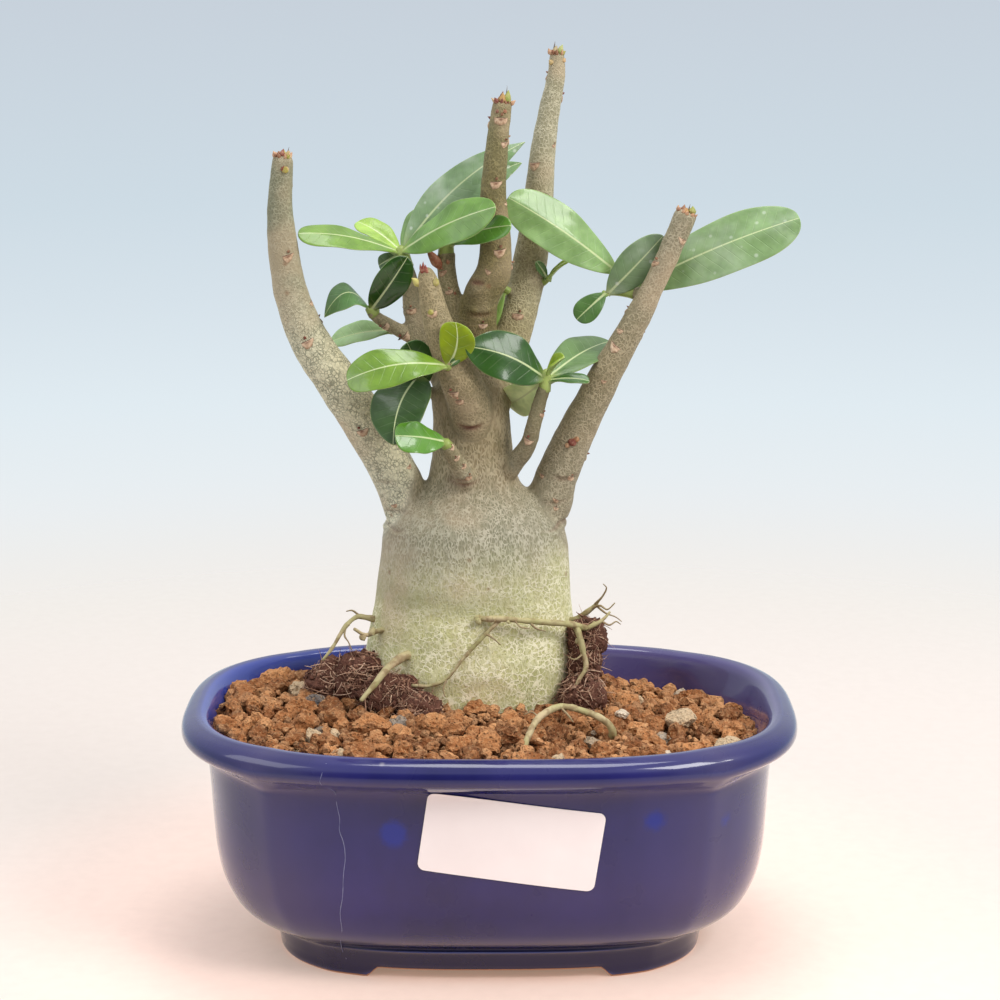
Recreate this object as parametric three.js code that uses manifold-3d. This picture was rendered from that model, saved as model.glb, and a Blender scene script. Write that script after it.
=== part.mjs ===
// A desert rose in a glazed bonsai bowl: a bottle-shaped trunk with cut-back branches, rosettes of
// leaves at the branch ends, coarse clay grit over the roots, and a blank label on the bowl's front.
// Millimetres, +Z up. The origin is on the table under the middle of the bowl, and +Y points away
// from the viewer, so the label faces -Y.
import * as THREE from 'three';
import { mergeVertices } from 'three/addons/utils/BufferGeometryUtils.js';
import Module from 'manifold-3d';

const wasm = await Module();
wasm.setup();

// Driving dimensions of the bowl, which is a rounded oblong in plan
const BOWL_HALF_LENGTH = 73.7;
const BOWL_HALF_DEPTH = 50.5;
const BOWL_ROUNDNESS = 2.6;
const BOWL_STEPS = 44;
// Below the crease the belt and the feet are a fuller oblong, shorter across and deeper
const BELT_INSET = 19;
const BELT_SHIFT = 2;
const CORNER_RIDGE = 0.5;
const CORNER_RIDGE_TURN = 0.93;
const CORNER_RIDGE_SPREAD = 0.11;

// The bowl's wall as height and inset from the widest outline, from the belt above the feet,
// up the outside, over the rolled lip, and down the inside to the floor
const BOWL_UNDERSIDE = 2.5;
const BOWL_OUTSIDE = [
  [2.5, 20.2], [3.2, 19.5], [8.9, 19.6], [9.7, 15.8], [12, 11.8], [15, 9.4], [20, 7.8],
  [29, 6.7], [44, 6.3], [50.3, 5.5], [52.2, 3.2], [53.6, 1], [55.2, 0], [58.6, 1.5],
  [59.5, 3.8],
];
const BOWL_INSIDE = [
  [58.6, 6], [56, 7.3], [47, 10], [24, 12.6], [13.5, 17], [9, 25],
];
const BOWL_FLOOR = 9;

// Four bracket feet, one under each rounded corner, and two drain holes between them
const FOOT_OUTSIDE = [[0, 20], [0.8, 19.2], [2.9, 20], [6, 23]];
const FOOT_INNER_INSET = 27.5;
const FOOT_GAP_FRONT = 55;
const FOOT_GAP_SIDE = 20;
const DRAIN_RADIUS = 5;
const DRAIN_REACH = 27;

// The label is a thin card stuck a little askew on the front face
const LABEL_WIDTH = 40.6;
const LABEL_HEIGHT = 19.3;
const LABEL_CORNER = 1.6;
const LABEL_THICKNESS = 0.6;
const LABEL_OFF_GLAZE = 0.42;
const LABEL_MIDDLE = [5.1, 38.5];
const LABEL_TILT = -0.094;
const LABEL_STEPS = 8;

// The clearance that neighbouring pieces keep where they touch
const SEAT = 0.32;

// The trunk stands behind the bowl's middle. Its rings are height, middle across, half width and
// half depth, from the buried root end, over the swollen foot and the shoulder, up into the neck
const TRUNK_MIDDLE_DEPTH = 15;
const TRUNK_SIDES = 20;
const TRUNK_RINGS = [
  [38, -4.5, 12, 11], [49, -4.8, 22.6, 19.4], [57, -5, 25.6, 21.6],
  [66, -4.9, 26.3, 22], [80, -4.3, 24, 20.6], [92, -4.1, 22.8, 19.6], [99.4, -4.1, 22, 18.4],
  [100, -4.1, 21.2, 17.8], [104, -4, 17.6, 14.6], [106.5, -3.9, 12.6, 12], [109.5, -4, 10.6, 10.6],
  [116, -4.3, 9.8, 9.7], [124, -4.5, 9.2, 9.2], [132, -5.2, 8.9, 8.8], [137, -4.6, 6.4, 6.6],
];
const TRUNK_LOBES = [[3, 0.022, 0.6], [5, 0.014, 2.1], [2, 0.01, 1.2]];
const TRUNK_FOOT_REACH = 4;

// Every cut branch, twig and root ends in a rounded cap: a smaller last ring and a middle point,
// as shares of the radius there
const CAP_RING_REACH = 0.35;
const CAP_RING_SIZE = 0.62;
const CAP_REACH = 0.45;
const BRANCH_SIDES = 10;
const TWIG_SIDES = 6;
const ROOT_SIDES = 5;

// Branches as centre points with their radius: across, away, up, radius
const BRANCHES = {
  left: [
    [-14, 14.5, 92, 6], [-19.4, 14, 102, 5.8], [-22.5, 13, 111, 5.7], [-29.5, 12, 124, 5.5],
    [-35.9, 11.5, 134, 5.3], [-42.4, 11, 144, 4.8], [-46.7, 10.5, 155, 4.2], [-48.6, 10, 166, 3.6],
    [-49.2, 10, 178, 2.9], [-48.3, 10, 190, 2.4],
  ],
  right: [
    [9, 15, 93, 6], [14, 15, 104, 5.8], [16.8, 14.5, 112.5, 5.1], [21.5, 13.5, 123.5, 4.5],
    [27.7, 12.5, 136, 3.9], [33.8, 12, 147.5, 3.4], [40.2, 11.5, 160.5, 2.7], [46.5, 11, 175.3, 2.7],
  ],
  tall: [
    [-1, 17, 124, 5], [1.6, 18.5, 133.5, 4.9], [5.8, 21, 146, 4.6], [8.3, 23, 155, 4.5],
    [10.2, 24, 164.5, 4.1], [11.9, 25, 178, 3.6], [13.1, 25.5, 191, 2.9], [15.8, 26, 208, 2.2],
    [16.1, 26, 214, 1.9],
  ],
  middle: [
    [-3, 15.5, 126, 5], [-2.5, 15, 142, 4.8], [-2.8, 14, 148.5, 4.7], [-2.1, 13, 155, 4.4],
    [0.9, 12, 160.8, 4.1], [1.4, 11, 167, 3.8], [1.1, 10, 175, 3.4], [1.1, 9.5, 183, 3],
    [2, 9, 192.5, 2.7], [3.2, 9, 203, 2.4],
  ],
  front: [
    [-5, 13, 122, 5.2], [-6.4, 11, 130.5, 4.8], [-8.7, 9, 137, 4.4], [-11.2, 7, 146, 3.6],
    [-13.1, 6, 152, 3.2], [-14.4, 5, 158.5, 3], [-14.8, 4.5, 163.8, 2.5],
  ],
  behind: [
    [-8, 16.5, 126, 3.2], [-10.8, 17, 133, 2.9], [-13.9, 17, 139, 2.7], [-16.8, 17, 145.3, 2.4],
    [-18.6, 17, 151, 2.2], [-19, 17, 157.4, 2], [-20.4, 17, 163, 1.9],
  ],
};

// Short twigs, the cut knob on the middle branch, and the dried bud
const TWIGS = {
  behind_side: [
    [-18, 17, 144, 1.7], [-22.7, 16, 147.1, 1.7], [-26.3, 15, 149.4, 1.6], [-28.3, 14, 151.4, 1.6],
  ],
  stub: [
    [-4, 14.5, 146, 3], [-7.6, 15.3, 150, 2.5], [-9.2, 16, 155.3, 2.4], [-10.3, 16, 161, 2.3],
    [-10.4, 16, 166, 2.1],
  ],
  right_low: [
    [1.5, 12, 109, 2.6], [5.6, 8.6, 115, 2.4], [9.2, 6, 120.5, 2.2], [10.6, 5, 125.5, 2],
    [11.8, 5, 130.4, 1.8], [13.2, 5, 135, 1.6],
  ],
  front_low: [
    [-3.6, 10, 106, 2.6], [-5.6, 4.5, 112.3, 2.3], [-7.9, 1, 117.4, 2.2], [-10.2, -2, 122, 1.9],
  ],
  left_low: [[-10, 14.5, 130.6, 1.6], [-14.1, 13, 132, 1.3], [-15.8, 12, 133.8, 1.2]],
  right_back: [[38, 12, 156, 1.9], [35.4, 16, 155.4, 1.7], [33.8, 18.4, 155.8, 1.6]],
  knob: [[-0.6, 12.6, 155.5, 2.8], [-4, 10, 158.4, 2.6]],
};

// Spurs so short that only a leaf's foot shows on them
const SPURS = {
  behind: [[-19, 17.2, 147.4, 1.2], [-22.6, 18.6, 146.2, 0.9]],
  front: [[-8.4, 8.4, 138.4, 1.2], [-9.4, 4.6, 139.6, 1]],
  tall: [[6, 21, 154.6, 1.2], [4, 19.2, 156, 0.9]],
  tall_bud: [[10, 23.4, 157.2, 1.4], [13.4, 21.4, 157.8, 1.2]],
  dried_bud: [[-11.2, 15.4, 161.8, 0.8], [-12.8, 14, 163.4, 0.9], [-14.6, 13, 165.8, 0.6]],
};

// Roots left bare by the grit: one lies across the trunk's front, others hang at its sides, and
// one leaves the trunk underground and arches out in front
const ROOTS = {
  across: [
    [-3.6, -3.8, 80.8, 0.8], [-1.3, -7.3, 80.8, 0.7], [3.2, -7.4, 81, 0.7], [9.8, -5.8, 80, 0.7],
    [18.6, -1, 78, 0.7], [23.4, 1.6, 76.2, 0.6],
  ],
  slant: [
    [2.4, -6.4, 80.4, 0.6], [-0.8, -7.6, 77.4, 0.5], [-6.5, -8.2, 71, 0.5],
    [-10.2, -7.8, 66.4, 0.5], [-14.2, -6.8, 64.4, 0.5], [-18.6, -5.2, 64, 0.5],
  ],
  arch: [
    [14, 3, 50, 1.3], [25, -8, 51, 1.2], [29, -15, 54.5, 1], [27.6, -17, 58.6, 0.8],
    [22.3, -16.6, 61.2, 0.8], [16.5, -17.6, 62.6, 0.8], [11.6, -22, 61.4, 0.8],
    [9, -27, 58.4, 0.8], [7.4, -30, 54.6, 0.7],
  ],
  left_thick: [
    [-17, 0, 71, 1.1], [-21.5, -3.4, 70.2, 1], [-24.7, -6.4, 68.2, 0.9], [-27.5, -9.4, 65.3, 0.8],
    [-30.4, -12, 62.4, 0.6],
  ],
  left_loop: [
    [-25.5, 10, 75.6, 0.8], [-29.8, 9, 76.8, 0.7], [-32.4, 8, 77.3, 0.6], [-34.8, 6, 75.8, 0.6],
    [-36.4, 5, 73.6, 0.5], [-38, 4, 70.9, 0.5], [-40.4, 3, 67.9, 0.45],
  ],
  left_side: [
    [-22, 4, 75.6, 0.8], [-26.8, 4, 75, 0.6], [-29.9, 3, 74.2, 0.5], [-32.7, 2, 76, 0.45],
  ],
  right_side: [
    [16.5, 10, 76.4, 0.8], [20.6, 7.6, 76.8, 0.7], [24.6, 7, 79.6, 0.6], [26.4, 6, 81.8, 0.45],
  ],
  right_fork: [[23.2, 1.4, 76.2, 0.6], [26.9, 2, 78, 0.5], [29.1, 4, 79.7, 0.45]],
};
const BURIED_ROOTS = [
  [[-4.5, 15, 44, 5], [-24, 6, 36, 2.4]],
  [[-4.5, 15, 44, 5], [14, 0, 36, 2.4]],
  [[-4.5, 15, 43, 5], [-8, 30, 35, 2.4]],
];

// Leaf scars climb each branch in the plant's own spiral, a little over a third of a turn apart
const SCAR_TURN = 2.4;
const SCAR_SPACING = { left: 14, right: 13, tall: 13, middle: 10, front: 9, behind: 9 };
const SCAR_SEAT = 0.93;
const SCAR_HALF_WIDTH = 1.5;
const SCAR_HALF_HEIGHT = 0.65;
const SCAR_PROUD = 0.9;
const SCAR_START = 0.22;
const SCAR_STOP = 4;
const SCAR_FIRST_TURN = -1.6;
const CUT_BRANCHES = ['left', 'right', 'tall', 'middle', 'front'];
const BUDS_PER_TIP = 4;

// Leaves as petiole foot, tip, width and the way the blade faces. Fold is how far the two halves
// rise from the midrib, and arch is how far the midrib bows up, both as a share of the leaf
const LEAF_ARCH = 0.07;
const LEAF_FOLD = 0.22;
const LEAF_THICKNESS = 0.8;
const LEAF_STEPS = 6;
const LEAF_CROWDING = 1.5;
const PETIOLE_HALF_WIDTH = 0.75;
const TIP_HALF_WIDTH = 0.5;
const BROAD_LEAF = 9.2;
const TOWARD = [0, -1, 0.35];
const UPWARD = [0, -0.45, 1];
const ROSETTES = {
  rosette_left_top: {
    shoot: [[-20, 17, 161.6, 2], [-20.9, 16.8, 165, 1.9], [-21.2, 16.6, 166.4, 1.3]],
    leaves: [
      { foot: [-21.4, 16.6, 165], tip: [-45.1, 10, 170.4], width: 9, face: UPWARD },
      { foot: [-21.2, 17.4, 165.2], tip: [-31.9, 24, 172.6], width: 8.5, face: UPWARD },
      { foot: [-20.8, 16, 165.4], tip: [1.6, 1.5, 178.4], width: 12.5, face: [0.1, -0.7, 1] },
      { foot: [-20.8, 17.4, 165.4], tip: [-11.6, 24, 175.6], width: 9.5, face: [-0.5, -1, 0.6] },
      { foot: [-21.4, 17.4, 164.6], tip: [-26.6, 22, 161.4], width: 4, face: TOWARD },
    ],
  },
  rosette_left_side: {
    shoot: [[-27.6, 14.4, 150.8, 1.7], [-28.8, 13.6, 152.4, 1.2]],
    leaves: [
      { foot: [-28.4, 13.4, 152], tip: [-19.4, 9.6, 165.4], width: 9.2, face: [0.35, -1, 0.2] },
      { foot: [-28.8, 13.6, 152], tip: [-39, 9.6, 150.8], width: 8.4, face: UPWARD, arch: 0.3 },
    ],
  },
  rosette_middle: {
    shoot: [[-10.4, 16, 164.6, 2.2], [-10.2, 16, 168.6, 1.8], [-10.1, 16, 169.6, 1]],
    leaves: [
      { foot: [-10, 16.6, 168], tip: [8.4, 19, 191.4], width: 17, face: [-0.4, -1, 0.5] },
      { foot: [-9.4, 15.2, 167.4], tip: [5, 2.4, 172.6], width: 7, face: [0, -1, 0.8] },
    ],
  },
  rosette_front: {
    shoot: [[-9.2, 5.6, 139.4, 1.3], [-9.8, 3.6, 140.4, 1.2]],
    leaves: [
      { foot: [-10, 4, 140.2], tip: [-33.2, -4, 136.8], width: 9.6, face: [0.1, -0.8, 1] },
      { foot: [-9.8, 3.8, 140.4], tip: [-7.6, 0.6, 151.2], width: 7.8, face: TOWARD, fold: 0.12 },
      { foot: [-9.6, 3.6, 140.2], tip: [-6.8, 1.6, 143], width: 2.4, face: TOWARD },
    ],
  },
  rosette_right_low: {
    shoot: [[13, 5, 133.8, 1.6], [13.4, 4.8, 137.4, 1.5], [13.6, 4.6, 138.8, 0.9]],
    leaves: [
      { foot: [13.2, 4.6, 136.6], tip: [-5.9, 0.2, 146.4], width: 8.8, face: [0.2, -0.9, 0.9] },
      { foot: [14, 5.2, 136.8], tip: [29.4, 24, 142.4], width: 9.4, face: [-0.3, -0.8, 1] },
      { foot: [13.6, 4.6, 137.4], tip: [17.6, 1.6, 142.4], width: 5.2, face: UPWARD, fold: 0.5 },
      { foot: [14, 4.6, 136.2], tip: [23.5, 1.4, 136.6], width: 4, face: UPWARD },
      { foot: [13.2, 5.6, 136.4], tip: [3.4, 23, 125.6], width: 8, face: [0.6, -0.8, 0.3] },
    ],
  },
  rosette_left_back: {
    shoot: [[-15.4, 12.4, 133.2, 1.4], [-16.6, 11.6, 134.8, 1]],
    leaves: [
      {
        foot: [-16.2, 11.4, 134.4], tip: [-22.4, -8, 124.6], width: 14.4, face: [0, -0.75, 1],
        fold: 0.12,
      },
      { foot: [-16.2, 12.4, 134.4], tip: [-20.6, 22, 137.6], width: 7, face: [0, -1, 0.6] },
    ],
  },
  leaf_front_low: {
    shoot: [[-9.6, -1.2, 120.8, 1.8], [-10.4, -2.8, 123, 1.4]],
    leaves: [{ foot: [-10.2, -2.4, 122.8], tip: [-21.6, -9, 126], width: 6.2, face: [0, -0.9, 1] }],
  },
  leaf_left_low: {
    shoot: [[-22, 18.4, 146.4, 1], [-24, 19, 145.8, 0.9]],
    leaves: [{ foot: [-23.4, 18.8, 146], tip: [-39, 22.5, 143], width: 6.6, face: UPWARD }],
  },
  leaf_behind: {
    shoot: [[4.6, 19.8, 155.4, 1], [3.4, 19.4, 156.4, 0.9]],
    leaves: [{ foot: [3.8, 19.6, 156], tip: [-3, 22.6, 142.6], width: 5, face: TOWARD }],
  },
  rosette_right_back: {
    shoot: [[34.6, 17.4, 155.6, 1.7], [33.2, 19.2, 156.2, 1.6], [32.6, 19.8, 157, 1]],
    leaves: [
      { foot: [33, 19.2, 156], tip: [4.9, 13.6, 178.4], width: 13.4, face: [0.15, -1, 0.5] },
      {
        foot: [33.6, 18.8, 156.4], tip: [41.4, 17.6, 169.4], width: 9.8, face: [0.6, -1, 0.2],
        fold: 0.4,
      },
      { foot: [32.8, 19, 155.6], tip: [21.3, 16.6, 148.6], width: 5, face: TOWARD },
      { foot: [34, 19.2, 156], tip: [73.2, 13, 173.6], width: 15.2, face: [-0.1, -1, 0.6] },
    ],
  },
  shoot_tall: {
    shoot: [[12.8, 21.8, 157.6, 1.2], [14.2, 20.8, 158.6, 0.9]],
    leaves: [
      { foot: [14, 20.8, 158.4], tip: [19, 17.8, 163], width: 2.4, face: UPWARD },
      { foot: [13.8, 20.8, 158.4], tip: [11.2, 18, 162.8], width: 2.4, face: [0.5, -1, 0] },
    ],
  },
};

// Clay grit over the root ball. The grains are larger than life and cover the whole surface:
// each is a rough boulder top, and the gaps between three neighbours sink to a low point. The
// cover is heaped a little round the trunk and falls away to the right
const GRIT_LEVEL = 56.15;
const GRIT_MOUND = 2;
const GRIT_MOUND_MIDDLE = [-4.5, 5];
const GRIT_MOUND_REACH = 30;
const GRIT_FALL = 0.095;
const GRAIN_SPACING = 9.5;
const GRAIN_RISE = 1.8;
const GRIT_GAP_DEPTH = 1.6;
const GRAIN_SHOULDER = 0.68;
const GRAIN_SHAKE = 1.6;

// Dark fibrous peat left on the old root ball, as lumps: middle and radii
const PEAT_LEFT = [
  [[-37, 9, 60], [8, 6.5, 6]], [[-30, 5, 62], [7.5, 6, 7]], [[-23, -3, 60.5], [8, 5, 5.5]],
  [[-16.5, -8, 58.5], [5, 4, 4.5]],
];
const PEAT_RIGHT = [
  [[23.4, 6, 72.5], [4.6, 4.4, 5]], [[23, 4, 66.5], [4.2, 4, 5.4]],
  [[22.4, 0.5, 59.5], [5.4, 4.6, 6]],
];

// Small mesh squares that keep the grit out of the drain holes
const MESH_SIDE = 18;
const MESH_BAR = 1.2;
const MESH_CELLS = 2;
const MESH_THICKNESS = 1;

// Repeatable random numbers for the grit, the peat and the buds
function seededRandom(seed) {
  let state = seed;
  return () => {
    state = (Math.imul(state, 1664525) + 1013904223) >>> 0;
    return state / 4294967296;
  };
}

// A closed solid from corner points and triangles
function solidFrom(points, triangles) {
  const mesh = new wasm.Mesh({
    numProp: 3,
    vertProperties: new Float32Array(points.flat()),
    triVerts: new Uint32Array(triangles.flat()),
  });
  return new wasm.Manifold(mesh);
}

// A closed solid from one of the geometry classes
function solidFromGeometry(geometry) {
  geometry.deleteAttribute('normal');
  geometry.deleteAttribute('uv');
  const merged = mergeVertices(geometry, 1e-4);
  const mesh = new wasm.Mesh({
    numProp: 3,
    vertProperties: new Float32Array(merged.attributes.position.array),
    triVerts: new Uint32Array(merged.index.array),
  });
  return new wasm.Manifold(mesh);
}

// The largest connected body, so that a cut leaves no scraps
function largestBody(solid) {
  const bodies = solid.decompose();
  bodies.sort((a, b) => b.volume() - a.volume());
  return bodies[0];
}

function joinAll(solids) {
  return solids.reduce((whole, piece) => whole.add(piece));
}

// Rings of points, joined by bands of triangles, with a point closing each end
function loft(rings, startPoint, endPoint) {
  const count = rings[0].length;
  const points = rings.flat();
  const triangles = [];
  for (let ring = 0; ring + 1 < rings.length; ring += 1) {
    for (let i = 0; i < count; i += 1) {
      const next = (i + 1) % count;
      const low = ring * count;
      const high = low + count;
      triangles.push([low + i, low + next, high + next], [low + i, high + next, high + i]);
    }
  }
  const start = points.push(startPoint) - 1;
  const end = points.push(endPoint) - 1;
  const last = (rings.length - 1) * count;
  for (let i = 0; i < count; i += 1) {
    const next = (i + 1) % count;
    triangles.push([start, next, i], [end, last + i, last + next]);
  }
  return solidFrom(points, triangles);
}

// One outline of the bowl: a superellipse with a soft ridge at each of its four corners
function bowlOutline(inset, height) {
  const outline = [];
  for (let i = 0; i < BOWL_STEPS; i += 1) {
    const turn = (2 * Math.PI * i) / BOWL_STEPS;
    outline.push(bowlPoint(inset, height, turn));
  }
  return outline;
}

function bowlPoint(inset, height, turn) {
  const power = 2 / BOWL_ROUNDNESS;
  const cos = Math.cos(turn);
  const sin = Math.sin(turn);
  const fromRidge = Math.atan2(Math.abs(sin), Math.abs(cos)) - CORNER_RIDGE_TURN;
  const ridge = CORNER_RIDGE * Math.exp(-((fromRidge / CORNER_RIDGE_SPREAD) ** 2));
  const shift = inset > BELT_INSET ? BELT_SHIFT : 0;
  const halfLength = BOWL_HALF_LENGTH - inset - shift + (inset > 1 ? ridge : 0);
  const halfDepth = BOWL_HALF_DEPTH - inset + shift + (inset > 1 ? ridge : 0);
  return [
    halfLength * Math.sign(cos) * Math.abs(cos) ** power,
    halfDepth * Math.sign(sin) * Math.abs(sin) ** power,
    height,
  ];
}

// The bowl: lofted wall, bracket feet, drain holes
function makeBowl() {
  const wall = [...BOWL_OUTSIDE, ...BOWL_INSIDE];
  const rings = wall.map(([height, inset]) => bowlOutline(inset, height));
  const shell = loft(rings, [0, 0, BOWL_UNDERSIDE], [0, 0, BOWL_FLOOR]);
  const footRings = FOOT_OUTSIDE.map(([height, inset]) => bowlOutline(inset, height));
  const [footTop] = FOOT_OUTSIDE.at(-1);
  const footBlock = loft(footRings, [0, 0, 0], [0, 0, footTop]);
  const hollowRings = [-1, footTop + 1].map((height) => bowlOutline(FOOT_INNER_INSET, height));
  const footHollow = loft(hollowRings, [0, 0, -1], [0, 0, footTop + 1]);
  const frontGap = boxSolid([FOOT_GAP_FRONT, 2 * BOWL_HALF_DEPTH, 2 * BOWL_UNDERSIDE], [0, 0, 0]);
  const sideGap = boxSolid([2 * BOWL_HALF_LENGTH, FOOT_GAP_SIDE, 2 * BOWL_UNDERSIDE], [0, 0, 0]);
  const feet = footBlock.subtract(footHollow).subtract(frontGap).subtract(sideGap);
  let bowl = shell.add(feet);
  for (const side of [-1, 1]) {
    bowl = bowl.subtract(uprightCylinder(DRAIN_RADIUS, 20, [side * DRAIN_REACH, 0, BOWL_FLOOR / 2]));
  }
  return bowl;
}

function boxSolid(size, middle) {
  const box = new THREE.BoxGeometry(...size);
  box.translate(...middle);
  return solidFromGeometry(box);
}

function uprightCylinder(radius, height, middle) {
  const cylinder = new THREE.CylinderGeometry(radius, radius, height, 20);
  cylinder.rotateX(Math.PI / 2);
  cylinder.translate(...middle);
  return solidFromGeometry(cylinder);
}

// The space inside the bowl, kept clear of the wall by a given distance
function bowlSpace(clearance, top) {
  const wall = BOWL_INSIDE.map(([height, inset]) => [height, inset + clearance]).reverse();
  wall[0][0] += clearance;
  const rings = wall.map(([height, inset]) => bowlOutline(inset, height));
  rings.push(bowlOutline(BOWL_INSIDE[0][1] + clearance, top));
  return loft(rings, [0, 0, BOWL_FLOOR + clearance], [0, 0, top]);
}

// How far out the bowl's outside stands at a height
function bowlInsetAt(height) {
  for (let i = 0; i + 1 < BOWL_OUTSIDE.length; i += 1) {
    const [low, lowInset] = BOWL_OUTSIDE[i];
    const [high, highInset] = BOWL_OUTSIDE[i + 1];
    if (height <= high) {
      return THREE.MathUtils.mapLinear(height, low, high, lowInset, highInset);
    }
  }
  return 0;
}

// A point that stands proud of the bowl's front face
function frontFacePoint(across, height, proud) {
  const inset = bowlInsetAt(height);
  const share = Math.abs(across) / (BOWL_HALF_LENGTH - inset);
  const depth = (BOWL_HALF_DEPTH - inset) * (1 - share ** BOWL_ROUNDNESS) ** (1 / BOWL_ROUNDNESS);
  return [across, -(depth + proud), height];
}

// The label's outline narrows at its rounded corners, and its rows follow the bowl's face
function makeLabel() {
  const rows = 6;
  const columns = LABEL_STEPS;
  const front = [];
  const back = [];
  for (let row = 0; row <= rows; row += 1) {
    const v = cornerStep(row, rows, LABEL_HEIGHT);
    const fromEdge = Math.max(0, LABEL_CORNER - (LABEL_HEIGHT / 2 - Math.abs(v)));
    const cut = LABEL_CORNER - Math.sqrt(LABEL_CORNER ** 2 - fromEdge ** 2);
    for (let column = 0; column <= columns; column += 1) {
      const u = (column / columns - 0.5) * (LABEL_WIDTH - 2 * cut);
      const across = LABEL_MIDDLE[0] + u * Math.cos(LABEL_TILT) - v * Math.sin(LABEL_TILT);
      const height = LABEL_MIDDLE[1] + u * Math.sin(LABEL_TILT) + v * Math.cos(LABEL_TILT);
      back.push(frontFacePoint(across, height, LABEL_OFF_GLAZE));
      front.push(frontFacePoint(across, height, LABEL_OFF_GLAZE + LABEL_THICKNESS));
    }
  }
  return sheetSolid(front, back, rows, columns);
}

// Rows of the label sit closer together at its rounded ends
function cornerStep(row, rows, height) {
  const half = height / 2;
  const levels = [-half, -half + LABEL_CORNER * 0.4, -half + LABEL_CORNER];
  if (row < 3) {
    return levels[row];
  }
  if (row > rows - 3) {
    return -levels[rows - row];
  }
  return 0;
}

// A thin closed sheet from matching front and back grids, split alike on both faces
function sheetSolid(front, back, rows, columns) {
  const points = [...front, ...back];
  const offset = front.length;
  const at = (row, column) => row * (columns + 1) + column;
  const triangles = [];
  for (let row = 0; row < rows; row += 1) {
    for (let column = 0; column < columns; column += 1) {
      const a = at(row, column);
      const b = at(row, column + 1);
      const c = at(row + 1, column + 1);
      const d = at(row + 1, column);
      triangles.push([a, b, c], [a, c, d]);
      triangles.push([offset + a, offset + c, offset + b], [offset + a, offset + d, offset + c]);
    }
  }
  const rim = [];
  for (let column = 0; column < columns; column += 1) {
    rim.push(at(0, column));
  }
  for (let row = 0; row < rows; row += 1) {
    rim.push(at(row, columns));
  }
  for (let column = columns; column > 0; column -= 1) {
    rim.push(at(rows, column));
  }
  for (let row = rows; row > 0; row -= 1) {
    rim.push(at(row, 0));
  }
  rim.forEach((a, i) => {
    const b = rim[(i + 1) % rim.length];
    triangles.push([a, offset + a, offset + b], [a, offset + b, b]);
  });
  const solid = solidFrom(points, triangles);
  if (solid.volume() > 0) {
    return solid;
  }
  return solidFrom(points, triangles.map(([a, b, c]) => [a, c, b]));
}

// The trunk with its swollen foot, shoulder and neck
function makeTrunk(grow) {
  const rings = TRUNK_RINGS.map(([height, across, halfWidth, halfDepth]) => {
    const ring = [];
    for (let i = 0; i < TRUNK_SIDES; i += 1) {
      const turn = (2 * Math.PI * i) / TRUNK_SIDES;
      const swell = TRUNK_LOBES.reduce(
        (sum, [lobes, size, phase]) => sum + size * Math.cos(lobes * turn + phase),
        1,
      );
      ring.push([
        across + (halfWidth * swell + grow) * Math.cos(turn),
        TRUNK_MIDDLE_DEPTH + (halfDepth * swell + grow) * Math.sin(turn),
        height,
      ]);
    }
    return ring;
  });
  const [bottom] = TRUNK_RINGS[0];
  const [top] = TRUNK_RINGS.at(-1);
  const across = TRUNK_RINGS[0][1];
  const foot = [across, TRUNK_MIDDLE_DEPTH, bottom - TRUNK_FOOT_REACH - grow];
  return loft(rings, foot, [across, TRUNK_MIDDLE_DEPTH, top + 1 + grow]);
}

// A branch, twig or root: rings swept along a smooth line through its centre points
function limb(centres, sides, grow = 0) {
  const line = new THREE.CatmullRomCurve3(centres.map(([x, y, z]) => new THREE.Vector3(x, y, z)));
  const steps = centres.length - 1;
  const rings = [];
  let side = null;
  for (let step = 0; step <= steps; step += 1) {
    const share = step / steps;
    const centre = line.getPoint(share);
    const along = line.getTangent(share);
    side = side ?? sidewaysFrom(along);
    side.addScaledVector(along, -side.dot(along)).normalize();
    const up = new THREE.Vector3().crossVectors(along, side);
    const radius = limbRadius(centres, share) + grow;
    const ends = step === 0 ? -grow : step === steps ? grow : 0;
    const middle = centre.clone().addScaledVector(along, ends);
    rings.push(ringAround(middle, side, up, radius, sides));
    if (step === steps) {
      const shoulder = middle.clone().addScaledVector(along, radius * CAP_RING_REACH);
      rings.push(ringAround(shoulder, side, up, radius * CAP_RING_SIZE, sides));
    }
  }
  const start = line.getPoint(0).addScaledVector(line.getTangent(0), -grow);
  const endReach = grow + (limbRadius(centres, 1) + grow) * CAP_REACH;
  const end = line.getPoint(1).addScaledVector(line.getTangent(1), endReach);
  return loft(rings, start.toArray(), end.toArray());
}

function sidewaysFrom(along) {
  const hint = Math.abs(along.z) > 0.9 ? new THREE.Vector3(1, 0, 0) : new THREE.Vector3(0, 0, 1);
  return new THREE.Vector3().crossVectors(hint, along).normalize();
}

function limbRadius(centres, share) {
  const place = share * (centres.length - 1);
  const index = Math.min(Math.floor(place), centres.length - 2);
  return THREE.MathUtils.lerp(centres[index][3], centres[index + 1][3], place - index);
}

function ringAround(middle, side, up, radius, sides) {
  const ring = [];
  for (let i = 0; i < sides; i += 1) {
    const turn = (2 * Math.PI * i) / sides;
    const point = middle.clone();
    point.addScaledVector(side, radius * Math.cos(turn));
    point.addScaledVector(up, radius * Math.sin(turn));
    ring.push(point.toArray());
  }
  return ring;
}

// A small eight-sided lump, stretched and turned so that its long way lies across a branch
function stretchedLump(middle, out, along, halfSizes) {
  const lump = new THREE.OctahedronGeometry(1, 0);
  const across = new THREE.Vector3().crossVectors(out, along).normalize();
  const turn = new THREE.Matrix4().makeBasis(across, out, along.clone());
  lump.scale(...halfSizes);
  lump.applyMatrix4(turn);
  lump.translate(middle.x, middle.y, middle.z);
  return solidFromGeometry(lump);
}

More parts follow.
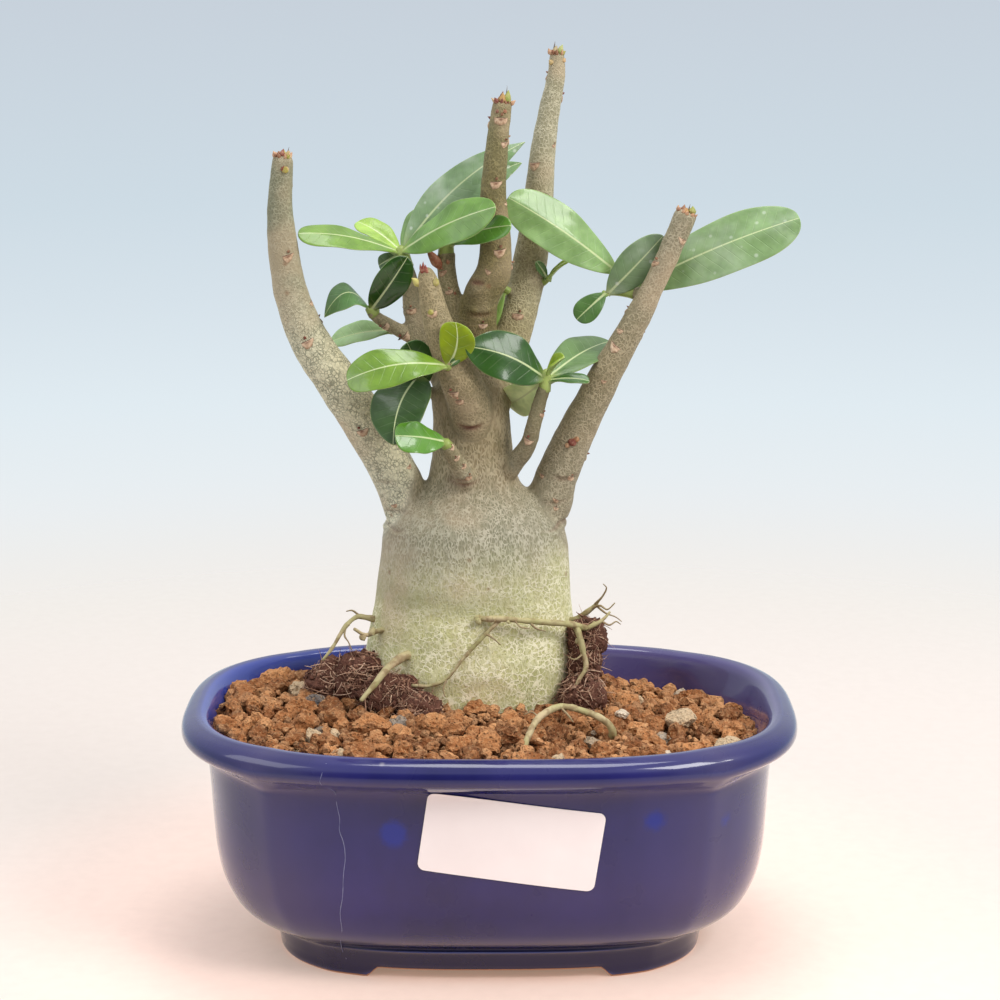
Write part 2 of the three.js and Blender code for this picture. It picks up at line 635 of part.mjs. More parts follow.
// Leaf scars up one branch
function scarsOn(name, grow) {
  const centres = BRANCHES[name];
  const line = new THREE.CatmullRomCurve3(centres.map(([x, y, z]) => new THREE.Vector3(x, y, z)));
  const length = line.getLength();
  const scars = [];
  const size = [SCAR_HALF_WIDTH, SCAR_PROUD, SCAR_HALF_HEIGHT].map((half) => half + 2 * grow);
  let turn = SCAR_FIRST_TURN;
  const last = length - SCAR_STOP;
  for (let place = SCAR_START * length; place < last; place += SCAR_SPACING[name]) {
    const t = place / length;
    const along = line.getTangentAt(t);
    const out = outwardFrom(along, turn);
    const radius = limbRadius(centres, line.getUtoTmapping(t, 0));
    const middle = line.getPointAt(t).addScaledVector(out, radius * SCAR_SEAT);
    scars.push(stretchedLump(middle, out, along, size));
    turn += SCAR_TURN;
  }
  return scars;
}

// A direction square to a branch, turned round it
function outwardFrom(along, turn) {
  const east = new THREE.Vector3(1, 0, 0);
  east.addScaledVector(along, -east.dot(along)).normalize();
  const north = new THREE.Vector3().crossVectors(along, east);
  return east.multiplyScalar(Math.cos(turn)).addScaledVector(north, Math.sin(turn));
}

// A ring of small pointed buds round the cut end of a branch
function budsOn(name, random, grow) {
  const [x, y, z, radius] = BRANCHES[name].at(-1);
  const [px, py, pz] = BRANCHES[name].at(-2);
  const along = new THREE.Vector3(x - px, y - py, z - pz).normalize();
  const buds = [];
  for (let i = 0; i < BUDS_PER_TIP; i += 1) {
    const out = outwardFrom(along, (2 * Math.PI * (i + 0.3 * random())) / BUDS_PER_TIP);
    const middle = new THREE.Vector3(x, y, z);
    middle.addScaledVector(out, radius * 0.7);
    middle.addScaledVector(along, -0.9 + 0.6 * random());
    const lean = along.clone().addScaledVector(out, 0.2 + 0.3 * random()).normalize();
    const outer = out.clone().addScaledVector(lean, -out.dot(lean)).normalize();
    const size = [radius * 0.33, radius * 0.37, 1.2 + 0.8 * random()].map((half) => half + 2 * grow);
    buds.push(stretchedLump(middle, outer, lean, size));
  }
  return buds;
}

// The whole plant but its leaves: trunk, branches, twigs, roots, scars and buds grown as one
function makePlant(grow) {
  const random = seededRandom(7);
  const pieces = [makeTrunk(grow)];
  Object.values(BRANCHES).forEach((line) => pieces.push(limb(line, BRANCH_SIDES, grow)));
  Object.values(TWIGS).forEach((line) => pieces.push(limb(line, TWIG_SIDES, grow)));
  Object.values(SPURS).forEach((line) => pieces.push(limb(line, ROOT_SIDES, grow)));
  Object.values(ROOTS).forEach((line) => pieces.push(limb(line, ROOT_SIDES, grow)));
  BURIED_ROOTS.forEach((line) => pieces.push(limb(line, ROOT_SIDES, grow)));
  Object.keys(BRANCHES).forEach((name) => pieces.push(...scarsOn(name, grow)));
  CUT_BRANCHES.forEach((name) => pieces.push(...budsOn(name, random, grow)));
  return joinAll(pieces);
}

// How wide a leaf is along its midrib: a slim petiole, widest past the middle, a blunt tip
function leafShare(t) {
  return Math.sin(Math.PI * t ** 1.35) ** 0.72;
}

// One leaf blade, thick enough to hold, folded a little along its midrib and bowed
function leaf({ foot, tip, width, face, fold = LEAF_FOLD, arch = LEAF_ARCH }, grow = 0) {
  const start = new THREE.Vector3(...foot);
  const along = new THREE.Vector3(...tip).sub(start);
  const length = along.length();
  along.normalize();
  const up = new THREE.Vector3(...face);
  up.addScaledVector(along, -up.dot(along)).normalize();
  const side = new THREE.Vector3().crossVectors(along, up);
  const columns = width > BROAD_LEAF ? 4 : 2;
  const top = [];
  const under = [];
  for (let step = 0; step <= LEAF_STEPS; step += 1) {
    const t = 1 - (1 - step / LEAF_STEPS) ** LEAF_CROWDING;
    const least = THREE.MathUtils.lerp(PETIOLE_HALF_WIDTH, TIP_HALF_WIDTH, t);
    const half = Math.max(leafShare(t) * (width / 2), least) + grow;
    const bow = arch * length * 4 * t * (1 - t);
    const reach = t * length + (step === LEAF_STEPS ? grow : 0) - (step === 0 ? grow : 0);
    for (let column = 0; column <= columns; column += 1) {
      const j = (2 * column) / columns - 1;
      const lift = bow + fold * half * (1 - (1 - Math.abs(j)) ** 2) * 0.8;
      const point = start.clone().addScaledVector(along, reach);
      point.addScaledVector(side, half * j);
      point.addScaledVector(up, lift);
      const thin = LEAF_THICKNESS / 2 + grow;
      top.push(point.clone().addScaledVector(up, thin).toArray());
      under.push(point.clone().addScaledVector(up, -thin).toArray());
    }
  }
  return sheetSolid(top, under, LEAF_STEPS, columns);
}

function makeRosette({ shoot, leaves }, grow = 0) {
  return joinAll([limb(shoot, 5, grow), ...leaves.map((one) => leaf(one, grow))]);
}

// A rough lump: an icosahedron with its corners pushed in and out
function roughLump(middle, radii, detail, random, grow = 0) {
  const lump = new THREE.IcosahedronGeometry(1, detail);
  lump.deleteAttribute('normal');
  lump.deleteAttribute('uv');
  const merged = mergeVertices(lump, 1e-4);
  const corners = merged.attributes.position;
  const turn = new THREE.Euler(random() * 3, random() * 3, random() * 3);
  const point = new THREE.Vector3();
  for (let i = 0; i < corners.count; i += 1) {
    point.fromBufferAttribute(corners, i).multiplyScalar(0.84 + 0.32 * random()).applyEuler(turn);
    corners.setXYZ(i, ...[0, 1, 2].map((axis) => {
      const size = point.getComponent(axis);
      return middle[axis] + size * (radii[axis] + grow);
    }));
  }
  return solidFromGeometry(merged);
}

function makePeat(lumps, seed, grow = 0) {
  const random = seededRandom(seed);
  return joinAll(lumps.map(([middle, radii]) => roughLump(middle, radii, 1, random, grow)));
}

// How high the grit's cover lies at a place
function gritLevelAt(x, y) {
  const fromMound = Math.hypot(x - GRIT_MOUND_MIDDLE[0], y - GRIT_MOUND_MIDDLE[1]);
  const mound = GRIT_MOUND * Math.exp(-((fromMound / GRIT_MOUND_REACH) ** 2));
  return GRIT_LEVEL + mound - GRIT_FALL * Math.max(0, x);
}

// The grit's cover: grains on a shaken triangular lattice, drawn as a closed block of rough ground
function makeGrainBlock() {
  const random = seededRandom(41);
  const shake = () => (random() - 0.5) * GRAIN_SHAKE;
  const rowStep = GRAIN_SPACING * Math.sqrt(0.75);
  const rows = 2 * Math.ceil(BOWL_HALF_DEPTH / rowStep) + 2;
  const columns = 2 * Math.ceil(BOWL_HALF_LENGTH / GRAIN_SPACING) + 2;
  const points = [];
  const latticeX = (row, column) => (column - columns / 2 + (row % 2) / 2) * GRAIN_SPACING;
  const latticeY = (row) => (row - rows / 2) * rowStep;
  // One low point in each of the two lattice triangles that a grain has up and to its right
  const gaps = new Map();
  const gapAt = (row, column, upper) => {
    const key = `${row} ${column} ${upper}`;
    if (!gaps.has(key)) {
      const x = latticeX(row, column) + (upper ? 0 : GRAIN_SPACING / 2) + shake();
      const y = latticeY(row) + (upper ? rowStep * (2 / 3) : rowStep / 3) + shake();
      const height = gritLevelAt(x, y) - GRIT_GAP_DEPTH * (0.5 + random());
      gaps.set(key, points.push([x, y, height]) - 1);
    }
    return gaps.get(key);
  };
  const triangles = [];
  for (let row = 1; row < rows; row += 1) {
    for (let column = 1; column < columns; column += 1) {
      const below = row - 1;
      const shift = row % 2;
      const ring = [
        gapAt(row, column, false), gapAt(row, column, true), gapAt(row, column - 1, false),
        gapAt(below, column - 1 + shift, true), gapAt(below, column - 1 + shift, false),
        gapAt(below, column + shift, true),
      ];
      addGrain(points, triangles, ring, random);
    }
  }
  return closeBelow(points, triangles, 0);
}

// One grain: a rough six-sided top inside its ring of low points
function addGrain(points, triangles, ring, random) {
  const total = [0, 1].map((axis) => ring.reduce((sum, i) => sum + points[i][axis], 0));
  const middle = total.map((sum) => sum / ring.length);
  const level = gritLevelAt(...middle);
  const rise = GRAIN_RISE * (0.55 + 0.9 * random());
  const top = points.push([...middle, level + rise]) - 1;
  const shoulder = ring.map((i) => {
    const reach = GRAIN_SHOULDER * (0.86 + 0.28 * random());
    const x = middle[0] + (points[i][0] - middle[0]) * reach;
    const y = middle[1] + (points[i][1] - middle[1]) * reach;
    return points.push([x, y, level + rise * (0.45 + 0.6 * random())]) - 1;
  });
  ring.forEach((low, i) => {
    const next = (i + 1) % ring.length;
    triangles.push([top, shoulder[i], shoulder[next]]);
    triangles.push([shoulder[i], low, ring[next]], [shoulder[i], ring[next], shoulder[next]]);
  });
}

// Walls down from the open edge of a sheet of triangles, and a floor under it
function closeBelow(points, triangles, floor) {
  const open = new Map();
  triangles.forEach((corners) => corners.forEach((a, i) => {
    const b = corners[(i + 1) % 3];
    if (!open.delete(`${b} ${a}`)) {
      open.set(`${a} ${b}`, [a, b]);
    }
  }));
  const lowered = new Map();
  const under = (i) => {
    if (!lowered.has(i)) {
      lowered.set(i, points.push([points[i][0], points[i][1], floor]) - 1);
    }
    return lowered.get(i);
  };
  const middle = points.push([0, 0, floor]) - 1;
  open.forEach(([a, b]) => {
    triangles.push([b, a, under(a)], [b, under(a), under(b)], [under(b), under(a), middle]);
  });
  return solidFrom(points, triangles);
}

// The root ball under the grains fills the bowl
function makeGrit() {
  return bowlSpace(SEAT, GRIT_LEVEL + 10).intersect(makeGrainBlock());
}

// A mesh square with its open cells
function makeDrainMesh(side) {
  const middle = BOWL_FLOOR + SEAT + MESH_THICKNESS / 2;
  const pitch = (MESH_SIDE - MESH_BAR) / MESH_CELLS;
  const cell = pitch - MESH_BAR;
  let sheet = boxSolid([MESH_SIDE, MESH_SIDE, MESH_THICKNESS], [side * DRAIN_REACH, 0, middle]);
  for (let row = 0; row < MESH_CELLS; row += 1) {
    for (let column = 0; column < MESH_CELLS; column += 1) {
      const x = side * DRAIN_REACH + (column - (MESH_CELLS - 1) / 2) * pitch;
      const y = (row - (MESH_CELLS - 1) / 2) * pitch;
      sheet = sheet.subtract(boxSolid([cell, cell, 3 * MESH_THICKNESS], [x, y, middle]));
    }
  }
  return sheet;
}

// Materials
function material(color, roughness, metalness = 0) {
  return new THREE.MeshStandardMaterial({ color, roughness, metalness });
}
const cobaltGlaze = material(0x1e2266, 0.18);
const labelPaper = material(0xf1ecec, 0.55);
const blackMesh = material(0x1c1c1e, 0.6);
const clayGrit = material(0x9a6236, 0.95);
const darkPeat = material(0x33211a, 1);
const greyBark = material(0xb0a589, 0.8);
const greenLeaf = material(0x3f7d2a, 0.35);

// Each piece becomes a named mesh. Slivers thinner than this, left where solids were joined or cut,
// are closed up
const SLIVER = 0.06;
const potted = new THREE.Group();

function addPiece(name, solid, look) {
  const { vertProperties, triVerts } = solid.simplify(SLIVER).getMesh();
  const geometry = new THREE.BufferGeometry();
  geometry.setAttribute('position', new THREE.BufferAttribute(new Float32Array(vertProperties), 3));
  geometry.setIndex(new THREE.BufferAttribute(new Uint32Array(triVerts), 1));
  geometry.computeVertexNormals();
  const mesh = new THREE.Mesh(geometry, look);
  mesh.name = name;
  potted.add(mesh);
}

const plant = largestBody(makePlant(0));
const plantRoom = makePlant(SEAT);
const meshRoomSide = MESH_SIDE + 2 * SEAT;
const meshRoomHeight = 2 * (MESH_THICKNESS + 2 * SEAT);
const meshRoom = boxSolid([meshRoomSide, meshRoomSide, meshRoomHeight], [0, 0, BOWL_FLOOR]);
const peatLeft = largestBody(makePeat(PEAT_LEFT, 11).subtract(plantRoom));
const peatRight = largestBody(makePeat(PEAT_RIGHT, 23).subtract(plantRoom));

let grit = makeGrit().subtract(plantRoom);
grit = grit.subtract(makePeat(PEAT_LEFT, 11, SEAT)).subtract(makePeat(PEAT_RIGHT, 23, SEAT));
grit = grit.subtract(meshRoom.translate(DRAIN_REACH, 0, 0));
grit = grit.subtract(meshRoom.translate(-DRAIN_REACH, 0, 0));

addPiece('bowl', makeBowl(), cobaltGlaze);
addPiece('label', makeLabel(), labelPaper);
addPiece('drain_mesh_left', makeDrainMesh(-1), blackMesh);
addPiece('drain_mesh_right', makeDrainMesh(1), blackMesh);
addPiece('grit', largestBody(grit), clayGrit);
addPiece('peat_left', peatLeft, darkPeat);
addPiece('peat_right', peatRight, darkPeat);
addPiece('plant', plant, greyBark);

// Leaves keep clear of the plant and of the rosettes made before them
let taken = plantRoom;
Object.entries(ROSETTES).forEach(([name, parts]) => {
  addPiece(name, largestBody(makeRosette(parts).subtract(taken)), greenLeaf);
  taken = taken.add(makeRosette(parts, SEAT));
});

export default potted;
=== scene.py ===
# %% [markdown]
# Potted desert rose. The plant is a succulent with a swollen trunk. It was cut back hard, so five
# bare branches stand up from a short neck, and new leaves grow in small rosettes on the shoots.
# It stands in coarse clay grit in an oblong stoneware bowl with a deep blue glaze.
# The lesson builds the look of each piece over the measured solids. All sizes are in millimetres
# and are turned into metres in one place.

# %% Load the measured frame
import math
import random

import bmesh
import bpy
import numpy as np
from mathutils import Euler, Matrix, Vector, noise
from mathutils.bvhtree import BVHTree


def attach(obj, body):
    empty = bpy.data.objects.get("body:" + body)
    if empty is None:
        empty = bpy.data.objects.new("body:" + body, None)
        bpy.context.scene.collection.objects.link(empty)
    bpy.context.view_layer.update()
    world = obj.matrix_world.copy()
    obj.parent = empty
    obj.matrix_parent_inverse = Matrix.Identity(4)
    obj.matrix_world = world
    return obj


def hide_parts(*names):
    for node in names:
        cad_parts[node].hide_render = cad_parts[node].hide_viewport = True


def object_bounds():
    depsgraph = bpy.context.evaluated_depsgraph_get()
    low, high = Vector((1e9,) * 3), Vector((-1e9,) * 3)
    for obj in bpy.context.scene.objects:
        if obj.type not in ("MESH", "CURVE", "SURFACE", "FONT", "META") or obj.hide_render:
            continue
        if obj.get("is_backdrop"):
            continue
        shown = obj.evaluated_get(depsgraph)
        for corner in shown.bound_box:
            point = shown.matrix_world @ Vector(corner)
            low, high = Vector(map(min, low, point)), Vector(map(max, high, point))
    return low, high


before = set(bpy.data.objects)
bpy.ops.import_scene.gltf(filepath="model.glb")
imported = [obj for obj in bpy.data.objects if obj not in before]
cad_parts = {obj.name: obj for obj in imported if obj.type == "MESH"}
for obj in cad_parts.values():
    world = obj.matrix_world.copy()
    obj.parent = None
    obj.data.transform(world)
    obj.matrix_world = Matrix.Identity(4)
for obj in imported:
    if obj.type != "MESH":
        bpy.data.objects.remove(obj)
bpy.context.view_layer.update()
MM = 0.001
print("solids in the frame:", len(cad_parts))

# %% [markdown]
# A few short helpers make every piece the same way. A mesh is a list of points in millimetres and
# a list of faces. Each piece rides on the part's one body and stands for the solids that it
# replaces, so no solid shows through its own finer copy. Numbers kept at each point tell a finish
# what lies there.


# %% Make a piece
def show(thing):
    bpy.context.scene.collection.objects.link(thing)


def make(name, points, faces, material, nodes=(), smooth=True):
    mesh = bpy.data.meshes.new(name)
    points = np.asarray(points, dtype=float) * MM
    mesh.from_pydata(points.tolist(), [], [list(map(int, f)) for f in faces])
    mesh.validate()
    piece = bpy.data.objects.new(name, mesh)
    show(piece)
    if smooth:
        mesh.shade_smooth()
    mesh.materials.append(material)
    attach(piece, "root")
    if nodes:
        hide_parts(*nodes)
    return piece


def put_values(piece, name, values):
    values = np.asarray(values, dtype=np.float32)
    kind = "FLOAT" if values.ndim == 1 else "FLOAT_VECTOR"
    layer = piece.data.attributes.new(name, kind, "POINT")
    layer.data.foreach_set("value" if values.ndim == 1 else "vector", values.ravel())


def mesh_points(piece):
    flat = np.empty(len(piece.data.vertices) * 3)
    piece.data.vertices.foreach_get("co", flat)
    return flat.reshape(-1, 3) / MM


def mesh_normals(piece):
    flat = np.empty(len(piece.data.vertices) * 3)
    piece.data.vertices.foreach_get("normal", flat)
    return flat.reshape(-1, 3)


def settle_modifiers(piece):
    """Keeps the shape that the modifiers make, and drops them."""
    shaped = piece.evaluated_get(bpy.context.evaluated_depsgraph_get())
    old = piece.data
    piece.data = bpy.data.meshes.new_from_object(shaped)
    piece.modifiers.clear()
    bpy.data.meshes.remove(old)


print("piece helpers ready")

# %% [markdown]
# Some pieces hold hundreds of small things, such as stones or fibres. Each small thing is added to
# a pile, with its own numbers for the finish, and the pile becomes one mesh.


# %% Gather small things
class Pile:
    """Many small meshes gathered into one."""

    def __init__(self):
        self.points, self.faces, self.values, self.count = [], [], {}, 0

    def add(self, points, faces, **values):
        points = np.asarray(points, dtype=float)
        self.points.append(points)
        self.faces.extend([[i + self.count for i in f] for f in faces])
        self.count += len(points)
        for key, value in values.items():
            value = np.asarray(value, dtype=float)
            if value.ndim == 0 or (value.ndim == 1 and len(value) == 3 and len(points) != 3):
                value = np.broadcast_to(value, (len(points),) + value.shape)
            self.values.setdefault(key, []).append(value)

    def build(self, name, material, slot, nodes=(), smooth=True):
        piece = make(name, np.concatenate(self.points), self.faces, material, nodes, smooth)
        for key, parts in self.values.items():
            put_values(piece, key, np.concatenate(parts))
        return piece


print("pile ready")

# %% [markdown]
# Branches, roots, fibres and bud scales are all tubes along a curve. The curve runs smoothly
# through a few chosen points, and its radius changes on the way. Two directions square to it are
# carried along without twist, so the tube never pinches.


# %% Curves and tubes
def smooth_line(line, per_span):
    """Points on a smooth curve through the given ones; a fourth number, the radius, goes along."""
    line = np.asarray(line, dtype=float)
    padded = np.vstack([2 * line[0] - line[1], line, 2 * line[-1] - line[-2]])
    out = []
    for i in range(len(line) - 1):
        a, b, c, d = padded[i:i + 4]
        for k in range(per_span):
            t = k / per_span
            out.append(0.5 * (2 * b + (c - a) * t + (2 * a - 5 * b + 4 * c - d) * t ** 2
                              + (3 * b - a - 3 * c + d) * t ** 3))
    out.append(line[-1])
    return np.array(out)


def frames_along(points):
    """A direction, and two directions square to it, at each point of a line, without twist."""
    along = np.gradient(points, axis=0)
    along /= np.linalg.norm(along, axis=1, keepdims=True) + 1e-12
    hint = np.array([1.0, 0, 0]) if abs(along[0][2]) > 0.8 else np.array([0, 0, 1.0])
    side = np.cross(hint, along[0])
    sides = []
    for direction in along:
        side = side - np.dot(side, direction) * direction
        side = side / (np.linalg.norm(side) + 1e-12)
        sides.append(side)
    sides = np.array(sides)
    return along, sides, np.cross(along, sides)


def rings(rows, turns, first=0, flip=False):
    """Four-cornered faces between closed rings of points that follow each other."""
    faces = []
    for a in range(first, first + (rows - 1) * turns, turns):
        for i in range(turns):
            k, b = (i + 1) % turns, a + turns
            faces.append((a + i, b + i, b + k, a + k) if flip else (a + i, a + k, b + k, b + i))
    return faces


def tube(line, sides, per_span=4, rough=0.0, seed=0, cap=0.5):
    """A closed round tube along a line of points with radii, with rounded ends."""
    curve = smooth_line(line, per_span) if per_span > 1 else np.asarray(line, dtype=float)
    centres, radii = curve[:, :3], np.maximum(curve[:, 3], 0.02)
    along, side, up = frames_along(centres)
    turns = np.linspace(0, 2 * np.pi, sides, endpoint=False)
    ring = np.cos(turns)[None, :, None] * side[:, None, :] + np.sin(turns)[None, :, None] * up[:, None, :]
    swell = np.ones((len(curve), sides))
    if rough:
        for i in range(len(curve)):
            for j in range(sides):
                spot = Vector(centres[i] * 0.55 + ring[i, j] * 0.8) + Vector((seed * 7.1, 0, 0))
                swell[i, j] = 1 + rough * noise.noise(spot)
    points = centres[:, None, :] + ring * (radii[:, None] * swell)[:, :, None]
    points = points.reshape(-1, 3)
    rows = len(curve)
    faces = rings(rows, sides)
    start = centres[0] - along[0] * radii[0] * cap
    end = centres[-1] + along[-1] * radii[-1] * cap
    first, last = len(points), len(points) + 1
    points = np.vstack([points, start, end])
    for j in range(sides):
        k = (j + 1) % sides
        faces.append((first, k, j))
        faces.append((last, (rows - 1) * sides + j, (rows - 1) * sides + k))
    return points, faces


print("tubes ready")

# %% [markdown]
# The label and the leaves are thin closed sheets with a face and a back. Nothing grown or cast is
# quite even, so smooth noise and a soft step shape most of the unevenness.


# %% Sheets, noise and soft steps
def sheet_faces(rows, columns):
    """Faces of a thin closed sheet: a grid of points for its face, then the same for its back."""
    row, count, faces = columns + 1, (rows + 1) * (columns + 1), []
    for a in range(0, rows * row, row):
        for c in range(a, a + columns):
            faces.append((c, c + 1, c + row + 1, c + row))
            faces.append((count + c, count + c + row, count + c + row + 1, count + c + 1))
        b = a + columns
        faces += [(a, a + row, count + a + row, count + a), (b, count + b, count + b + row, b + row)]
    for c in range(columns):
        t = rows * row + c
        faces += [(c, count + c, count + c + 1, c + 1), (t, t + 1, count + t + 1, count + t)]
    return faces


def noise_at(points, scale, seed=0.0, octaves=3):
    """Smooth noise between about -1 and 1 at each point, with features of the given size in mm."""
    shift = Vector((seed * 13.7, seed * 5.3, seed * 2.9))
    return np.array([noise.fractal(Vector(p) / scale + shift, 1.0, 2.0, octaves) for p in points])


def settle(u):
    """A smooth step from 0 to 1."""
    u = np.clip(u, 0, 1)
    return u * u * (3 - 2 * u)


print("a soft step at a quarter of the way:", settle(0.25))

# %% [markdown]
# Finishes are built from nodes. A small kit keeps each recipe short: one call adds a node and joins
# it to what it reads, and others do sums. A span turns one range of numbers softly into another,
# a fade does it from 1 down to 0, and a ramp turns a number into a colour.


# %% Sums and colours
def rgb(r, g, b, a=1.0):
    return (r, g, b, a)


class Nodes:
    """Short ways to add and join the nodes of one tree."""

    def __init__(self, tree):
        self.tree = tree

    def node(self, kind, inputs=None, **settings):
        node = self.tree.nodes.new(kind)
        for key, value in settings.items():
            setattr(node, key, value)
        for key, value in (inputs or {}).items():
            self.feed(node.inputs[key], value)
        return node

    def feed(self, socket, value):
        if isinstance(value, bpy.types.NodeSocket):
            self.tree.links.new(value, socket)
        elif isinstance(value, bpy.types.Node):
            self.tree.links.new(value.outputs[0], socket)
        else:
            socket.default_value = value

    def math(self, operation, a, b=0.5, c=0.0, clamp=False):
        node = self.node("ShaderNodeMath", operation=operation, use_clamp=clamp)
        for socket, value in zip(node.inputs, (a, b, c)):
            self.feed(socket, value)
        return node.outputs[0]

    def times(self, a, b):
        return self.math("MULTIPLY", a, b)

    def plus(self, a, b):
        return self.math("ADD", a, b)

    def less(self, a, b):
        return self.math("SUBTRACT", a, b)

    def larger(self, a, b):
        return self.math("MAXIMUM", a, b)

    def vectors(self, operation, a, b=(0, 0, 0)):
        return self.node("ShaderNodeVectorMath", {0: a, 1: b}, operation=operation)

    def scaled(self, place, scale):
        return self.node("ShaderNodeVectorMath", {0: place, "Scale": scale}, operation="SCALE").outputs[0]

    def stretched(self, place, scale):
        return self.node("ShaderNodeMapping", {"Vector": place, "Scale": scale})

    def part(self, place, axis):
        return self.node("ShaderNodeSeparateXYZ", {"Vector": place}).outputs[axis]

    def red(self, color):
        return self.node("ShaderNodeSeparateColor", {"Color": color}).outputs[0]

    def span(self, value, low, high, out_low=0.0, out_high=1.0, smooth=True):
        node = self.node("ShaderNodeMapRange", interpolation_type="SMOOTHSTEP" if smooth else "LINEAR")
        for key, item in zip(("Value", "From Min", "From Max", "To Min", "To Max"),
                             (value, low, high, out_low, out_high)):
            self.feed(node.inputs[key], item)
        return node.outputs[0]

    def fade(self, value, low, high):
        return self.span(value, low, high, 1.0, 0.0)

    def mix(self, share, a, b, blend="MIX"):
        node = self.node("ShaderNodeMix", data_type="RGBA", blend_type=blend)
        self.feed(node.inputs[0], share)
        self.feed(node.inputs[6], a)
        self.feed(node.inputs[7], b)
        return node.outputs[2]

    def ramp(self, value, *stops):
        node = self.node("ShaderNodeValToRGB", {"Fac": value})
        band = node.color_ramp
        while len(band.elements) < len(stops):
            band.elements.new(0.5)
        for element, (place, color) in zip(band.elements, stops):
            element.position = place
            element.color = rgb(*color) if isinstance(color, tuple) else rgb(color, color, color)
        return node.outputs["Color"]


print("sums and colours ready")

# %% [markdown]
# A finish is a material of its own. It reads places and the numbers kept at the points, and has
# patterns made of noise or of cells. A bump only adds grain that is too fine to model.


# %% Patterns and finishes
class Finish(Nodes):
    """A material with its shader; wear hands the results to it."""

    def __init__(self, name, **settings):
        self.material = bpy.data.materials.new(name)
        self.material.use_nodes = True
        super().__init__(self.material.node_tree)
        self.shader = self.tree.nodes["Principled BSDF"]
        for key, value in settings.items():
            self.shader.inputs[key.replace("_", " ")].default_value = value

    def place(self):
        return self.node("ShaderNodeTexCoord").outputs["Object"]

    def value(self, name):
        return self.node("ShaderNodeAttribute", attribute_name=name).outputs["Fac"]

    def vector(self, name):
        return self.node("ShaderNodeAttribute", attribute_name=name).outputs["Vector"]

    def noise(self, place, scale, detail=3.0, rough=0.55, distort=0.0):
        node = self.node("ShaderNodeTexNoise", {"Vector": place, "Scale": scale, "Detail": detail,
                                                "Roughness": rough, "Distortion": distort})
        return node.outputs["Fac"]

    def cells(self, place, scale, feature="F1"):
        node = self.node("ShaderNodeTexVoronoi", feature=feature)
        self.feed(node.inputs["Vector"], place)
        self.feed(node.inputs["Scale"], scale)
        return node

    def bump(self, height, strength, distance, under=None):
        node = self.node("ShaderNodeBump", {"Height": height, "Strength": strength,
                                            "Distance": distance * MM})
        if under is not None:
            self.feed(node.inputs["Normal"], under)
        return node.outputs["Normal"]

    def wear(self, **links):
        for key, item in links.items():
            self.feed(self.shader.inputs[key.replace("_", " ")], item)
        return self.material


print("finishes ready")

# %% [markdown]
# The camera stands in front of the plant, a little above it, and looks down about 13 degrees. Its
# place was worked out from the bowl's rim, feet and label, so that the solids fall on the picture.

# %% Camera
CAMERA_PLACE = (2.5, -555.6, 235.3)
CAMERA_PITCH = 12.87
camera_data = bpy.data.cameras.new("camera")
camera_data.lens = 86.4
camera_data.sensor_width = 36.0
camera_data.clip_start, camera_data.clip_end = 0.01, 20.0
camera = bpy.data.objects.new("camera", camera_data)
camera.location = [v * MM for v in CAMERA_PLACE]
camera.rotation_euler = (math.radians(90 - CAMERA_PITCH), 0, 0)
show(camera)
bpy.context.scene.camera = camera
print("camera at", CAMERA_PLACE, "mm, pitch", CAMERA_PITCH)

# %% [markdown]
# The studio is bright and soft. Its sky goes from warm cream low down to pale blue above. The room
# behind the camera is dim, which gives the glaze a dark band to mirror.

# %% Sky
world = bpy.data.worlds.new("studio")
bpy.context.scene.world = world
world.use_nodes = True
SKY_STOPS = [
    (0, (0.98, 0.95, 0.92)), (0.116, (0.965, 0.94, 0.92)), (0.147, (0.94, 0.925, 0.9)),
    (0.187, (0.88, 0.888, 0.86)), (0.227, (0.823, 0.863, 0.885)), (0.268, (0.753, 0.835, 0.885)),
    (0.309, (0.68, 0.765, 0.828)), (0.35, (0.617, 0.712, 0.782)), (0.43, (0.575, 0.642, 0.714)),
    (0.55, (0.62, 0.67, 0.73)), (1, (0.88, 0.91, 0.96)),
]
SKY_LOW, SKY_HIGH = -0.45, 0.55
sky = Nodes(world.node_tree)
background = sky.tree.nodes["Background"]
toward = sky.node("ShaderNodeTexCoord").outputs["Generated"]
height = sky.span(sky.part(toward, "Z"), SKY_LOW, SKY_HIGH, smooth=False)
sky.feed(background.inputs["Color"], sky.ramp(height, *SKY_STOPS))
sky.feed(background.inputs["Strength"], sky.span(sky.part(toward, "Y"), -0.93, -0.7, 0.2, 1.0))
print("sky stops:", len(SKY_STOPS))

# %% [markdown]
# Three large soft lamps light the plant: the main one at right and in front, a weak one at left,
# and one overhead. Large lamps give soft shadows and long, gentle highlights on the glaze.


# %% Lamps
def soft_lamp(name, place, target, size, watts, color=(1, 1, 1)):
    data = bpy.data.lights.new(name, "AREA")
    data.shape = "RECTANGLE"
    data.size, data.size_y = [v * MM for v in size]
    data.energy = watts
    data.color = color
    lamp = bpy.data.objects.new(name, data)
    lamp.location = [v * MM for v in place]
    toward = Vector(target) - Vector(place)
    lamp.rotation_euler = toward.to_track_quat("-Z", "Y").to_euler()
    show(lamp)
    return lamp


soft_lamp("right", (500, -380, 620), (0, 0, 90), (360, 360), 5.2, (1.0, 0.985, 0.96))
soft_lamp("left", (-560, -260, 480), (0, 0, 90), (420, 420), 1.3, (0.98, 0.99, 1.0))
soft_lamp("top", (60, 100, 900), (0, 0, 100), (420, 300), 2.6)
print("lamps:", len(bpy.data.lights))
